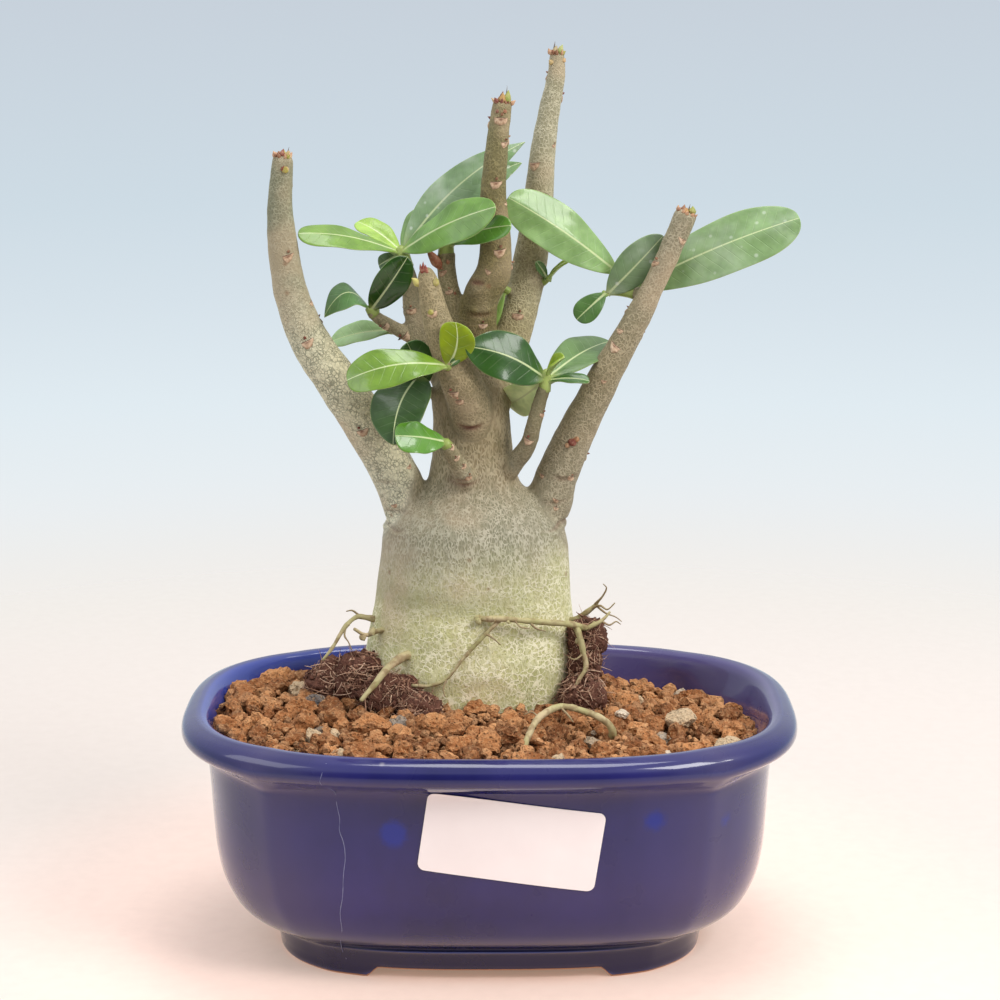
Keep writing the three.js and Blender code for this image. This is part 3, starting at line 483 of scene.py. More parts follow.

# %% [markdown]
# The floor is a pale round sheet. Its glow is painted light, for it is no lamp, and keeps shadows
# soft; near the bowl it is painted lighter and warmer, which lifts the bowl's shadow. It fades out at
# its edge, so it melts into the sky from every side.

# %% Floor
FLOOR_RINGS, FLOOR_TURNS = (90, 180, 300, 450, 700, 1000, 1500), 64
# Painted light: the floor glows a little, though it is no lamp, to keep shadows soft.
FLOOR_PAINTED_GLOW = 0.22
floor_points = [(0, 0, 0)]
for radius in FLOOR_RINGS:
    for turn in np.linspace(0, 2 * np.pi, FLOOR_TURNS, endpoint=False):
        floor_points.append((radius * math.cos(turn), radius * math.sin(turn), 0))
floor_faces = [(0, 1 + i, 1 + (i + 1) % FLOOR_TURNS) for i in range(FLOOR_TURNS)]
floor_faces += rings(len(FLOOR_RINGS), FLOOR_TURNS, 1, flip=True)
floor_finish = Finish("floor_paper", Roughness=0.75, Emission_Color=rgb(1.0, 0.8, 0.62),
                      Emission_Strength=FLOOR_PAINTED_GLOW)
away = floor_finish.vectors("LENGTH", floor_finish.place()).outputs["Value"]
grainy = floor_finish.noise(floor_finish.place(), 240.0, 3.0)
# Painted light: near the bowl the floor is lighter and warmer, which lifts the bowl's shadow.
near_floor_painted_light = floor_finish.ramp(grainy, (0.3, (0.745, 0.545, 0.475)), (0.7, (0.785, 0.577, 0.503)))
far_floor = floor_finish.ramp(grainy, (0.3, (0.49, 0.445, 0.42)), (0.7, (0.51, 0.465, 0.44)))
floor_finish.wear(
    Base_Color=floor_finish.mix(floor_finish.span(away, 0.075, 0.16), near_floor_painted_light, far_floor),
    Alpha=floor_finish.fade(away, 0.12, 0.55),
)
floor_mesh = bpy.data.meshes.new("floor")
floor_mesh.from_pydata([(x * MM, y * MM, z * MM) for x, y, z in floor_points], [], floor_faces)
floor = bpy.data.objects.new("floor", floor_mesh)
floor_mesh.materials.append(floor_finish.material)
show(floor)
floor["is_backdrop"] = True
bpy.context.scene.view_settings.view_transform = "Standard"
print("floor points:", len(floor_points))

# %% [markdown]
# The bowl is cast stoneware: an oblong with a rolled lip, a wall that turns in below, a crease, and
# a belt that runs down into four low bracket feet. Front and side walls meet in a soft upright
# ridge, with a small fold under the lip. Each row of the profile is a height and an inset from the
# bowl's half length and half depth. The corner's turn and spread are angles in radians.

# %% Bowl sizes
BOWL_HALF_LENGTH, BOWL_HALF_DEPTH, BOWL_ROUNDNESS = 73.6, 50.4, 2.85
BELT_INSET, BELT_SHIFT = 18.3, 2.0
CORNER_TURN, CORNER_SPREAD, CORNER_BLUNT = 0.88, 0.15, 0.035
RIDGE_HEIGHTS, RIDGE_OUT = (0, 9, 16, 35, 49, 52.5, 56, 59.5), (0.5, 0.7, 1.2, 1.7, 1.9, 0.9, -0.5, -0.7)
FOLD_LEVEL, FOLD_SPREAD, FOLD_DROP = 51.0, 1.7, 1.5
BOWL_WOBBLE = 0.22
BOWL_OUTSIDE = [
    (0, 20.9), (0.8, 20.3), (2.9, 20), (5.4, 19.4), (7.3, 18.7), (8.2, 17.6), (9.6, 15.4), (12, 12.8),
    (15, 10.8), (20, 8.7), (26, 7.5), (33, 6.9), (44, 6.3), (50.3, 5.5), (52.2, 3.2), (53.6, 1), (55.2, 0),
    (57.2, 0.25), (58.6, 1.5), (59.5, 3.6),
]
BOWL_INSIDE = [
    (59.3, 5), (58.4, 6.2), (56, 7.3), (47, 10), (24, 12.6), (13.5, 17), (9.6, 21.5), (9, 25),
]
UNDERSIDE_ROWS = [(0, 27.3), (0.6, 27.6), (2.5, 27.9), (2.5, 33)]
BOWL_UNDERSIDE, LIFTED_BAND, INSIDE_FEET = 2.5, 3.7, 27
FOOT_GAP_FRONT, FOOT_GAP_SIDE, FOOT_SLOPE = 55.0, 20.0, 1.6
DRAIN_RADIUS, DRAIN_REACH = 5.0, 27.0
BOWL_TURNS = 288
print("bowl in mm:", 2 * BOWL_HALF_LENGTH, "by", 2 * BOWL_HALF_DEPTH, "by", BOWL_OUTSIDE[-1][0])

# %% [markdown]
# It could be turned or carved, but one loft does it all: the profile is carried round a rounded
# oblong. The lower edge of the belt rises between the feet, so the feet need no separate block.


# %% Bowl shape
def ridge_share(turn):
    """1 on the upright ridge at each corner, falling off to both sides."""
    away = math.atan2(abs(math.sin(turn)), abs(math.cos(turn))) - CORNER_TURN
    return math.exp((CORNER_BLUNT - math.hypot(away, CORNER_BLUNT)) / CORNER_SPREAD)


def bowl_point(inset, height, turn, outer):
    power = 2 / BOWL_ROUNDNESS
    cos, sin = math.cos(turn), math.sin(turn)
    ridge = ridge_share(turn) * float(np.interp(height, RIDGE_HEIGHTS, RIDGE_OUT))
    shift = BELT_SHIFT * float(settle((inset - BELT_INSET + 1.5) / 1.5))
    shape_x, shape_y = math.copysign(abs(cos) ** power, cos), math.copysign(abs(sin) ** power, sin)
    wobble = BOWL_WOBBLE * noise.noise(Vector((cos * 2.1, sin * 1.6, height / 28)))
    fold = 0.0
    if outer:
        fold = FOLD_DROP * ridge_share(turn) * math.exp(-(((height - FOLD_LEVEL) / FOLD_SPREAD) ** 2))
    return (
        (BOWL_HALF_LENGTH - inset - shift + ridge + wobble) * shape_x,
        (BOWL_HALF_DEPTH - inset + shift + ridge + wobble) * shape_y,
        height - fold,
    )


def foot_lift(x, y):
    """How far the belt's lower edge is raised at a place: nothing on a foot, most between feet."""
    front = settle((FOOT_GAP_FRONT / 2 + FOOT_SLOPE - abs(x)) / (2 * FOOT_SLOPE))
    side = settle((FOOT_GAP_SIDE / 2 + FOOT_SLOPE - abs(y)) / (2 * FOOT_SLOPE))
    return BOWL_UNDERSIDE * max(float(front), float(side))


def bowl_profile():
    outside = smooth_line(BOWL_OUTSIDE[:3], 3)[:-1].tolist()
    outside += smooth_line(BOWL_OUTSIDE[2:], 4)[:-1].tolist()
    return outside, smooth_line([BOWL_OUTSIDE[-1]] + BOWL_INSIDE, 4).tolist()


outer_rows, inner_rows = bowl_profile()
bowl_rows = outer_rows + inner_rows
bowl_points = []
turns = [2 * math.pi * i / BOWL_TURNS for i in range(BOWL_TURNS)]
for row, (height, inset) in enumerate(UNDERSIDE_ROWS[::-1] + bowl_rows):
    for turn in turns:
        x, y, z = bowl_point(inset, height, turn, row < len(UNDERSIDE_ROWS) + len(outer_rows))
        lift = foot_lift(x, y)
        if z < LIFTED_BAND:
            z = z + lift * (1 - z / LIFTED_BAND)
        if inset > INSIDE_FEET and height < BOWL_UNDERSIDE:
            z = max(z, lift)
        bowl_points.append((x, y, z))
bowl_faces = []
rows = len(bowl_rows) + len(UNDERSIDE_ROWS)
for row in range(rows - 1):
    for i in range(BOWL_TURNS):
        k = (i + 1) % BOWL_TURNS
        a, b = row * BOWL_TURNS, (row + 1) * BOWL_TURNS
        bowl_faces.append((a + k, a + i, b + i, b + k))
bowl_faces.append(list(range(BOWL_TURNS)))
top = (rows - 1) * BOWL_TURNS
bowl_faces.append(list(range(top, top + BOWL_TURNS))[::-1])
print("bowl rows:", rows, "points:", len(bowl_points))

# %% [markdown]
# The glaze is a deep cobalt blue, glassy and smooth. Where it is thin, on the lip's edge, the crease and
# the corner ridges, the pale clay body shows through as a greyer blue; the ridges also get a painted
# highlight. The belt, tucked under the wall, is painted darkest, as shade, and the inner wall gets
# painted light, bluer at left and greyer at right. Fine mottling and pinholes break it up, and a few
# brighter blue patches are painted reflections. The underside of each foot is bare, unglazed clay.

# %% Glaze
PAINTED_REFLECTION_PATCHES = [
    (-21.7, -44, 40.8, 4.5), (37.9, -43, 43.2, 4), (56.9, -36, 51, 3), (55.8, -36, 40.8, 3.2),
    (-46, -42, 30, 3),
]
glaze = Finish("cobalt_glaze", Roughness=0.32, IOR=1.5, Coat_Weight=1.0, Coat_Roughness=0.07, Coat_IOR=1.45,
               Specular_IOR_Level=0.12)
place = glaze.place()
mottle = glaze.noise(place, 42.0, 4.0, 0.6)
streak = glaze.noise(glaze.stretched(place, (60, 60, 9)), 1.0, 3.0)
edge = glaze.node("ShaderNodeNewGeometry").outputs["Pointiness"]
thin = glaze.span(edge, 0.505, 0.56, 0.0, 0.75)
deep = glaze.ramp(mottle, (0.25, (0.0035, 0.003, 0.056)), (0.75, (0.012, 0.01, 0.118)))
veil = glaze.mix(glaze.span(streak, 0.4, 0.75, 0.0, 0.5), deep, rgb(0.021, 0.018, 0.115))
# Partly thin glaze, partly painted highlight: the corner ridges are a lighter, greyer blue.
veil = glaze.mix(glaze.times(glaze.value("ridge"), 0.5), veil, rgb(0.062, 0.05, 0.13))
speckled = glaze.span(glaze.noise(place, 700.0, 3.0), 0.44, 0.56)
# Painted reflections: a few speckled, brighter blue patches on the glaze.
for x, y, z, reach in PAINTED_REFLECTION_PATCHES:
    away = glaze.vectors("DISTANCE", place, (x * MM, y * MM, z * MM)).outputs["Value"]
    near_reflection = glaze.fade(away, 0.45 * reach * MM, reach * MM)
    painted_reflection = glaze.times(near_reflection, glaze.larger(speckled, near_reflection))
    veil = glaze.mix(painted_reflection, veil, rgb(0.001, 0.012, 0.2))
# Painted light on the inner wall: bluer at left, greyer at right.
to_right = glaze.span(glaze.part(place, "X"), -0.03, 0.03)
wall_painted_light = glaze.mix(to_right, rgb(0.03, 0.05, 0.27), rgb(0.068, 0.055, 0.16))
veil = glaze.mix(glaze.value("inner_wall"), veil, wall_painted_light)
# Painted shade: the belt, tucked under the wall, is painted darkest.
belt_painted_shade = glaze.span(glaze.part(place, "Z"), 0.0095, 0.0125, 0.85, 0.0)
veil = glaze.mix(belt_painted_shade, veil, rgb(0.002, 0.001, 0.028))
broken = glaze.mix(thin, veil, rgb(0.06, 0.085, 0.28))
pinholes = glaze.cells(place, 170.0)
hole = glaze.fade(pinholes.outputs["Distance"], 0.0, 0.16)
rare = glaze.math("GREATER_THAN", glaze.red(pinholes.outputs["Color"]), 0.93)
hole = glaze.times(hole, rare)
holed = glaze.mix(glaze.times(hole, 0.6), broken, rgb(0.3, 0.27, 0.3))
bare = glaze.span(glaze.plus(glaze.value("bare_clay"), glaze.times(mottle, 0.5)), 0.6, 0.85)
ripple = glaze.bump(glaze.noise(place, 26.0, 2.0), 0.12, 1.2)
glaze.wear(
    Base_Color=glaze.mix(bare, holed, rgb(0.42, 0.2, 0.1)),
    Roughness=glaze.span(mottle, 0.2, 0.8, 0.2, 0.42),
    Coat_Weight=glaze.math("SUBTRACT", 1.0, bare, clamp=True),
    Normal=glaze.bump(hole, 0.25, -0.3, ripple),
)
bowl = make("glazed_bowl", bowl_points, bowl_faces, glaze.material, ["bowl"])
print("glaze nodes:", len(glaze.tree.nodes))

# %% [markdown]
# Two round drain holes go through the bowl's floor. A pair of plugs is cut away from the loft.
# Then each point of the bowl learns three things for the glaze: whether it is the bare underside
# of a foot, whether it lies on a corner ridge, which gets a painted highlight, and whether it faces
# inward, where the wall gets painted light.

# %% Drain holes
PLUG_TURNS, PLUG_ENDS = 40, (-1.0, 12.0)
plug_turns = np.linspace(0, 2 * np.pi, PLUG_TURNS, endpoint=False)
cut = bpy.data.meshes.new("drain_cut")
cut_points, cut_faces = [], []
for side in (-1, 1):
    base = len(cut_points)
    for z in PLUG_ENDS:
        cut_points += [((side * DRAIN_REACH + DRAIN_RADIUS * math.cos(t)) * MM,
                        DRAIN_RADIUS * math.sin(t) * MM, z * MM)
                       for t in plug_turns]
    low_ring = list(range(base, base + PLUG_TURNS))
    cut_faces += rings(2, PLUG_TURNS, base) + [low_ring[::-1], [i + PLUG_TURNS for i in low_ring]]
cut.from_pydata(cut_points, [], cut_faces)
cutter = bpy.data.objects.new("drain_cut", cut)
show(cutter)
drain = bowl.modifiers.new("drain", "BOOLEAN")
drain.operation, drain.object, drain.solver = "DIFFERENCE", cutter, "EXACT"
settle_modifiers(bowl)
bpy.data.objects.remove(cutter)
bowl.data.shade_smooth()
spots = mesh_points(bowl)
lifts = np.array([foot_lift(x, y) for x, y, _ in spots])
put_values(bowl, "bare_clay", np.where(spots[:, 2] < 4, 1 - settle((spots[:, 2] - lifts - 0.15) / 0.7), 0.0))
steep = (np.abs(spots[:, 1]) + 0.1) / BOWL_HALF_DEPTH / ((np.abs(spots[:, 0]) + 0.1) / BOWL_HALF_LENGTH)
around = np.arctan(steep ** (BOWL_ROUNDNESS / 2))
put_values(bowl, "ridge", np.array([ridge_share(turn) for turn in around]) * settle((spots[:, 2] - 8) / 14))
inward = -(mesh_normals(bowl)[:, :2] * spots[:, :2]).sum(1) / (np.linalg.norm(spots[:, :2], axis=1) + 1)
# Facing inward marks where the inner wall gets its painted light.
put_values(bowl, "inner_wall", settle((inward + 0.1) / 0.5) * settle((spots[:, 2] - 40) / 10))
bowl_tree = BVHTree.FromPolygons([tuple(p) for p in spots], [tuple(p.vertices) for p in bowl.data.polygons])
print("bowl faces:", len(bowl.data.polygons))

# %% [markdown]
# A fine crack wanders down the front through the glaze. It is a hair-thin tube, almost sunk in the
# glaze. Its points are widths and heights, and a ray from the front finds the glaze behind each.


# %% Crack in the glaze
def front_face(x, z, proud):
    """The place on the bowl's front at a width and height, a little proud of the glaze."""
    spot, _, _, _ = bowl_tree.ray_cast(Vector((x, -90, z)), Vector((0, 1, 0)))
    return (x, spot.y - proud, z)


CRACK = [
    (-36.3, 58.6), (-37.2, 56.6), (-37.6, 54.2), (-35.4, 52), (-34.5, 50), (-34.4, 47.5), (-33.8, 44),
    (-33.9, 41), (-33, 38), (-32.7, 34.4), (-33.2, 30), (-33.5, 24.7), (-34.2, 20), (-34, 15), (-34.6, 11),
    (-34.4, 6.4), (-33.6, 4.4),
]
hairline = [(*front_face(x, z, -0.03), 0.075) for x, z in CRACK]
hairline_points, hairline_faces = tube(hairline, 5, 5)
crack_glaze = Finish("crack_in_glaze", Roughness=0.5)
grey_line = crack_glaze.ramp(crack_glaze.noise(crack_glaze.place(), 300.0), (0.3, (0.08, 0.09, 0.22)),
                             (0.7, (0.3, 0.32, 0.46)))
crack_glaze.wear(Base_Color=grey_line)
make("glaze_hairline", hairline_points, hairline_faces, crack_glaze.material)
print("crack points:", len(CRACK))

# %% [markdown]
# A plain paper label is stuck a little askew on the front. It is left blank. It follows the
# glaze's curve, has rounded corners and a soft sheen, and stands less than a hair proud of the glaze.

# %% Label
LABEL_WIDTH, LABEL_HEIGHT, LABEL_CORNER = 40.6, 19.3, 1.7
LABEL_MIDDLE, LABEL_TILT = (5.1, 39.0), -0.145
label_points = []
LABEL_PROUD, LABEL_THICK = 0.12, 0.22
columns, label_rows = 64, 30
for face in (0, 1):
    for row in range(label_rows + 1):
        v = -math.cos(math.pi * row / label_rows) * LABEL_HEIGHT / 2
        short = max(0.0, LABEL_CORNER - (LABEL_HEIGHT / 2 - abs(v)))
        half = LABEL_WIDTH / 2 - (LABEL_CORNER - math.sqrt(max(0.0, LABEL_CORNER ** 2 - short ** 2)))
        for column in range(columns + 1):
            u = half * math.sin(math.pi * (column / columns - 0.5))
            x = LABEL_MIDDLE[0] + u * math.cos(LABEL_TILT) - v * math.sin(LABEL_TILT)
            z = LABEL_MIDDLE[1] + u * math.sin(LABEL_TILT) + v * math.cos(LABEL_TILT)
            label_points.append(front_face(x, z, LABEL_PROUD + LABEL_THICK * (1 - face)))
label_faces = sheet_faces(label_rows, columns)
paper = Finish("label_paper", Roughness=0.42, Coat_Weight=0.25, Coat_Roughness=0.25)
place = paper.place()
fibre = paper.noise(place, 900.0, 4.0)
paper.wear(
    Base_Color=paper.ramp(paper.noise(place, 60.0, 3.0), (0.3, (0.84, 0.76, 0.745)),
                          (0.7, (0.89, 0.82, 0.805))),
    Roughness=paper.span(fibre, 0.3, 0.7, 0.36, 0.5),
    Normal=paper.bump(fibre, 0.05, 0.1),
)
make("blank_label", label_points, label_faces, paper.material, ["label"], smooth=False)
print("label points:", len(label_points))

# %% [markdown]
# Two squares of black plastic mesh keep the grit out of the drain holes. They are seen only from
# below, through the holes, so the measured solids are kept and get a moulded finish.

# %% Drain mesh
moulded = Finish("black_mesh", Roughness=0.55)
place = moulded.place()
moulded.wear(
    Base_Color=moulded.ramp(moulded.noise(place, 400.0, 2.0), (0.3, 0.008), (0.7, 0.02)),
    Roughness=moulded.span(moulded.noise(place, 900.0, 2.0), 0.3, 0.7, 0.45, 0.65),
    Normal=moulded.bump(moulded.noise(place, 700.0, 2.0), 0.2, 0.2),
)
for name in ("drain_mesh_left", "drain_mesh_right"):
    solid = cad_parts[name]
    solid.data.materials.clear()
    solid.data.materials.append(moulded.material)
print("drain mesh finished")

# %% [markdown]
# The grit is baked clay: rough, pitted, orange-brown grains of about 3 to 6 mm, with a few grey
# and cream stones among them. The heap is fuller at the trunk and lower at right and behind. Three
# short rules say how high it stands at a place, where the bowl's wall is, and where the trunk is.

# %% Where the grit lies
GRIT_LEVEL, GRIT_MOUND, GRIT_MOUND_MIDDLE, GRIT_MOUND_REACH = 56.15, 2.0, (-4.5, 5), 30
GRIT_FALL, GRIT_FALL_BACK = 0.095, 0.07
WALL, TRUNK_AT, TRUNK_HALVES = 7.6, (-5, 15), (25.2, 21.4)


def grit_level(x, y):
    from_mound = np.hypot(x - GRIT_MOUND_MIDDLE[0], y - GRIT_MOUND_MIDDLE[1])
    fall = GRIT_FALL * np.maximum(0, x) + GRIT_FALL_BACK * np.maximum(0, y - 4)
    return GRIT_LEVEL + GRIT_MOUND * np.exp(-((from_mound / GRIT_MOUND_REACH) ** 2)) - fall


def inside_bowl(x, y, clear):
    half_length, half_depth = BOWL_HALF_LENGTH - WALL - clear, BOWL_HALF_DEPTH - WALL - clear
    return (np.abs(x) / half_length) ** BOWL_ROUNDNESS + (np.abs(y) / half_depth) ** BOWL_ROUNDNESS < 1


def outside_trunk(x, y, clear):
    across = (x - TRUNK_AT[0]) / (TRUNK_HALVES[0] + clear)
    deep = (y - TRUNK_AT[1]) / (TRUNK_HALVES[1] + clear)
    return across ** 2 + deep ** 2 > 1


print("grit level in front of the trunk:", round(float(grit_level(0, -10)), 1), "mm")

# %% [markdown]
# Loose grains find their own places, so they are dropped one by one: each falls at the lowest of a
# few tried spots until it touches what lies below. Heights of the heap are kept on a fine grid.
# Coarse grains fall first, and fine ones fill the gaps.

# %% Drop the grains
CELL = 0.5
TRIES, COARSE_TRIES, SPOTS_PER_TRY = 3400, 1500, 7
COARSE, FINE = (1.1, 1.6, 2.0, 2.3, 2.6, 2.9, 3.2), (0.6, 0.8, 1.1, 1.4)
BED_DEPTH, SINK, PILE_UP = 4.2, 0.8, 1.2
grid_x = np.arange(-70, 70, CELL)
grid_y = np.arange(-46, 46, CELL)
heap = grit_level(*np.meshgrid(grid_x, grid_y, indexing="ij")) - BED_DEPTH
draw = random.Random(5)
grains = []


def drop(x, y, radius):
    """Where a ball comes to rest when it is let down at a place, and the cells under it."""
    i0, i1 = np.searchsorted(grid_x, (x - radius, x + radius))
    j0, j1 = np.searchsorted(grid_y, (y - radius, y + radius))
    gx, gy = np.meshgrid(grid_x[i0:i1], grid_y[j0:j1], indexing="ij")
    inside = radius ** 2 - (gx - x) ** 2 - (gy - y) ** 2
    ball = np.sqrt(np.maximum(inside, 0))
    part = heap[i0:i1, j0:j1]
    rest = np.where(inside > 0, part + ball * SINK, -1e9).max()
    return rest, (i0, i1, j0, j1), inside, ball


for attempt in range(TRIES):
    radius = draw.choice(COARSE if attempt < COARSE_TRIES else FINE) * draw.uniform(0.9, 1.1)
    best = None
    for _ in range(SPOTS_PER_TRY):
        x, y = draw.uniform(-67, 67), draw.uniform(-44, 44)
        if not inside_bowl(x, y, radius * 0.75) or not outside_trunk(x, y, radius * 0.35):
            continue
        rest, cells, inside, ball = drop(x, y, radius)
        over = rest - grit_level(x, y)
        if best is None or over < best[0]:
            best = (over, x, y, rest, cells, inside, ball)
    if best is None or best[0] > PILE_UP:
        continue
    over, x, y, rest, (i0, i1, j0, j1), inside, ball = best
    under = heap[i0:i1, j0:j1]
    heap[i0:i1, j0:j1] = np.where(inside > 0, np.maximum(under, rest + ball * SINK), under)
    grains.append((x, y, rest, radius))
print("grains:", len(grains), "heap to", round(float(heap.max()), 1), "mm")

# %% [markdown]
# Gaps between grains are painted dark, as shade. The grid of heights is evened out by mixing each
# cell with the ones around it. How far a spot lies below this even top then tells how deep it lies in
# a gap, and so how much painted shade it gets.

# %% Painted shade in the gaps
GAP_SHADE_DEPTH = 2.2
even = heap.copy()
for shift in (1, 2, 3) * 3:
    beside = [np.roll(even, step, axis) for axis in (0, 1) for step in (shift, -shift)]
    even = (even + sum(beside)) / 5


def gap_shade_depth(points):
    """How deep each point lies below the heap's even top, from 0 to 1: its share of painted shade."""
    i = np.clip(np.searchsorted(grid_x, points[:, 0]), 0, len(grid_x) - 1)
    j = np.clip(np.searchsorted(grid_y, points[:, 1]), 0, len(grid_y) - 1)
    return np.clip((even[i, j] - points[:, 2] + 0.5) / GAP_SHADE_DEPTH, 0, 1)


print("evened heap to", round(float(even.max()), 1), "mm")

# %% [markdown]
# One grain is a ball that is broken flat on eleven sides. Its surface is then pushed in and out by
# noise at three sizes: a lopsided overall shape, crumbs and pits. Each takes its own stretch and
# turn.


# %% Stone shape
def ball_points(steps):
    mesh = bpy.data.meshes.new("ball")
    work = bmesh.new()
    bmesh.ops.create_icosphere(work, subdivisions=steps, radius=1.0)
    work.to_mesh(mesh)
    work.free()
    points = np.array([v.co[:] for v in mesh.vertices])
    faces = [tuple(p.vertices) for p in mesh.polygons]
    bpy.data.meshes.remove(mesh)
    return points, faces


BALL = {steps: ball_points(steps) for steps in (1, 2, 3, 4)}


def rough_stone(steps, radius, seed, bumpy=1.0):
    points, faces = BALL[steps]
    pick = random.Random(seed)
    shift = Vector((pick.uniform(-90, 90), pick.uniform(-90, 90), pick.uniform(-90, 90)))
    flats = np.array([[pick.gauss(0, 1) for _ in range(3)] for _ in range(11)])
    flats /= np.linalg.norm(flats, axis=1, keepdims=True)
    depth = np.array([pick.uniform(0.52, 1.0) for _ in flats])
    reach = depth[None, :] / np.maximum(points @ flats.T, 0.05)
    broken = -np.log(np.exp(-18 * np.minimum(reach, 1.3)).sum(1)) / 18 + 0.1
    out = []
    for p, size in zip(points, broken):
        v = Vector(p)
        lump = noise.noise(v * 1.3 + shift)
        crumb = noise.fractal(v * 3.4 + shift * 0.6, 0.7, 2.2, 3 if steps > 2 else 1)
        pit = max(0.0, noise.noise(v * 4.6 + shift * 1.3) - 0.16)
        out.append(v * (size + bumpy * (0.13 * lump + 0.18 * crumb - 0.55 * pit)))
    out = np.array([tuple(v) for v in out])
    stretch = np.array([pick.uniform(0.9, 1.22), pick.uniform(0.88, 1.15), pick.uniform(0.78, 1.0)])
    angles = [pick.uniform(0, 6.28) for _ in range(3)]
    turn = np.array(Euler((angles[0] * 0.15, angles[1] * 0.15, angles[2])).to_matrix())
    return (out * stretch) @ turn.T * radius, faces


print("points of a fine ball:", len(BALL[4][0]))

# %% [markdown]
# Baked clay is dull and full of fine pits. A number for each grain steers its colour: most are
# orange-brown, some dark, some tan, a few grey or cream. Hollows, pits and the gaps between grains are
# painted dark as shade, corners are painted pale, partly as wear and partly as highlight, and a little
# dust lies over all.


# %% Clay finish
def clay_finish(name, light, mid, dark):
    clay = Finish(name, Roughness=0.95, Specular_IOR_Level=0.2)
    place = clay.place()
    tone = clay.value("tone")
    blotch = clay.noise(place, 420.0, 4.0, 0.62)
    fine = clay.noise(place, 1500.0, 3.0, 0.6)
    body = clay.ramp(clay.plus(clay.times(tone, 0.52), clay.times(blotch, 0.48)),
                     (0.15, dark), (0.5, mid), (0.85, light))
    stone = clay.value("stone")
    grey = clay.ramp(clay.math("FRACT", clay.times(tone, 7.0)),
                     (0.2, (0.55, 0.41, 0.26)), (0.55, (0.09, 0.085, 0.09)), (0.8, (0.66, 0.55, 0.42)))
    colored = clay.mix(stone, body, grey)
    corner = clay.node("ShaderNodeNewGeometry").outputs["Pointiness"]
    # Painted shade in the hollows; corners painted pale, partly as wear and partly as highlight.
    hollow_painted_shade, worn = clay.span(corner, 0.38, 0.5, 0.75, 0.0), clay.span(corner, 0.52, 0.64, 0.0, 0.5)
    colored = clay.mix(hollow_painted_shade, colored, clay.mix(0.8, colored, rgb(0.03, 0.012, 0.005)))
    colored = clay.mix(worn, colored, clay.mix(0.45, colored, rgb(0.75, 0.5, 0.28)))
    # Painted shade in the pits and, by the deep number, in the gaps between grains.
    pit = clay.fade(clay.cells(place, 950.0).outputs["Distance"], 0.0, 0.42)
    colored = clay.mix(clay.times(clay.value("deep"), 0.9), colored, rgb(0.032, 0.013, 0.006))
    colored = clay.mix(clay.times(pit, 0.75), colored, clay.mix(0.75, colored, rgb(0.02, 0.008, 0.004)))
    dusty = clay.mix(clay.span(fine, 0.5, 0.74, 0.0, 0.6), colored, rgb(0.62, 0.37, 0.18))
    rough = clay.bump(fine, 1.0, 0.6, clay.bump(blotch, 1.0, 1.8))
    return clay.wear(Base_Color=dusty, Normal=clay.bump(pit, 0.8, -0.4, rough))


clay = clay_finish("clay_grit", (0.65, 0.305, 0.125), (0.345, 0.132, 0.045), (0.13, 0.041, 0.014))
print("clay finish ready")

# %% [markdown]
# A rough bed lies under the loose grains, so no gap between them shows the bowl's floor; it is painted
# fully dark, as shade deep in the heap. Then every grain gets its stone. Near ones are made finer than
# deep or far ones. The few odd stones that catch the eye in front are listed: a middle, a radius, a
# tone, and clay or stone.

# %% Grit
bed = Pile()
BED_STEP = 1.6
bed_x, bed_y = np.arange(-67, 67.1, BED_STEP), np.arange(-44, 44.1, BED_STEP)
index = {}
for i, x in enumerate(bed_x):
    for j, y in enumerate(bed_y):
        if inside_bowl(x, y, 0.2):
            index[i, j] = len(index)
bed_points = []
for i, j in index:
    x, y = bed_x[i], bed_y[j]
    bed_points.append((x, y, grit_level(x, y) - 3.0 + 1.1 * noise.noise(Vector((x, y, 3)) * 0.5)))
bed_faces = [(index[i, j], index[i + 1, j], index[i + 1, j + 1], index[i, j + 1]) for i, j in index
             if (i + 1, j) in index and (i + 1, j + 1) in index and (i, j + 1) in index]
# Painted shade: the bed is darkened fully, as the shade deep in the heap.
bed.add(bed_points, bed_faces, tone=0.1, stone=0.0, deep=1.0)
bed.build("grit_bed", clay, "clay_grit", ["grit"])

piles = {"grit_left": Pile(), "grit_front": Pile(), "grit_back": Pile()}


def pile_at(x, y):
    return piles["grit_back" if y > 2 else "grit_left" if x < 0 else "grit_front"]


for number, (x, y, z, radius) in enumerate(grains):
    pick = random.Random(900 + number)
    steps = 3 if (radius > (1.5 if y < 2 else 2.2) and z > grit_level(x, y) - 2.4) else 2
    if z < grit_level(x, y) - 3.4 or radius < 0.9:
        steps = 1
    points, faces = rough_stone(steps, radius * 1.12, 4000 + number)
    stone = 1.0 if pick.random() < 0.045 else 0.0
    tone = pick.betavariate(1.3, 1.5)
    points = points + (x, y, z)
    pile_at(x, y).add(points, faces, tone=tone, stone=stone, deep=gap_shade_depth(points))
SEEN_STONES = [
    (-42.3, -2.6, 58.6, 2.3, 0.08, 1), (57.1, -24.5, 54.6, 4, 0.03, 1), (45.8, -4.1, 55.6, 3.2, 0, 1),
    (31.8, -5.7, 57, 1.7, 0.12, 1), (-26.8, -19.4, 59, 3.6, 0.72, 0),
]
for number, (x, y, z, radius, tone, stone) in enumerate(SEEN_STONES):
    points, faces = rough_stone(3, radius, 9100 + number, 0.5)
    points = points * (1.1, 0.9, 0.75) + (x, y, z)
    pile_at(x, y).add(points, faces, tone=tone, stone=stone, deep=gap_shade_depth(points))
for name, pile in piles.items():
    piece = pile.build(name, clay, "clay_grit", smooth=False)
    print(name, "faces:", len(piece.data.polygons))

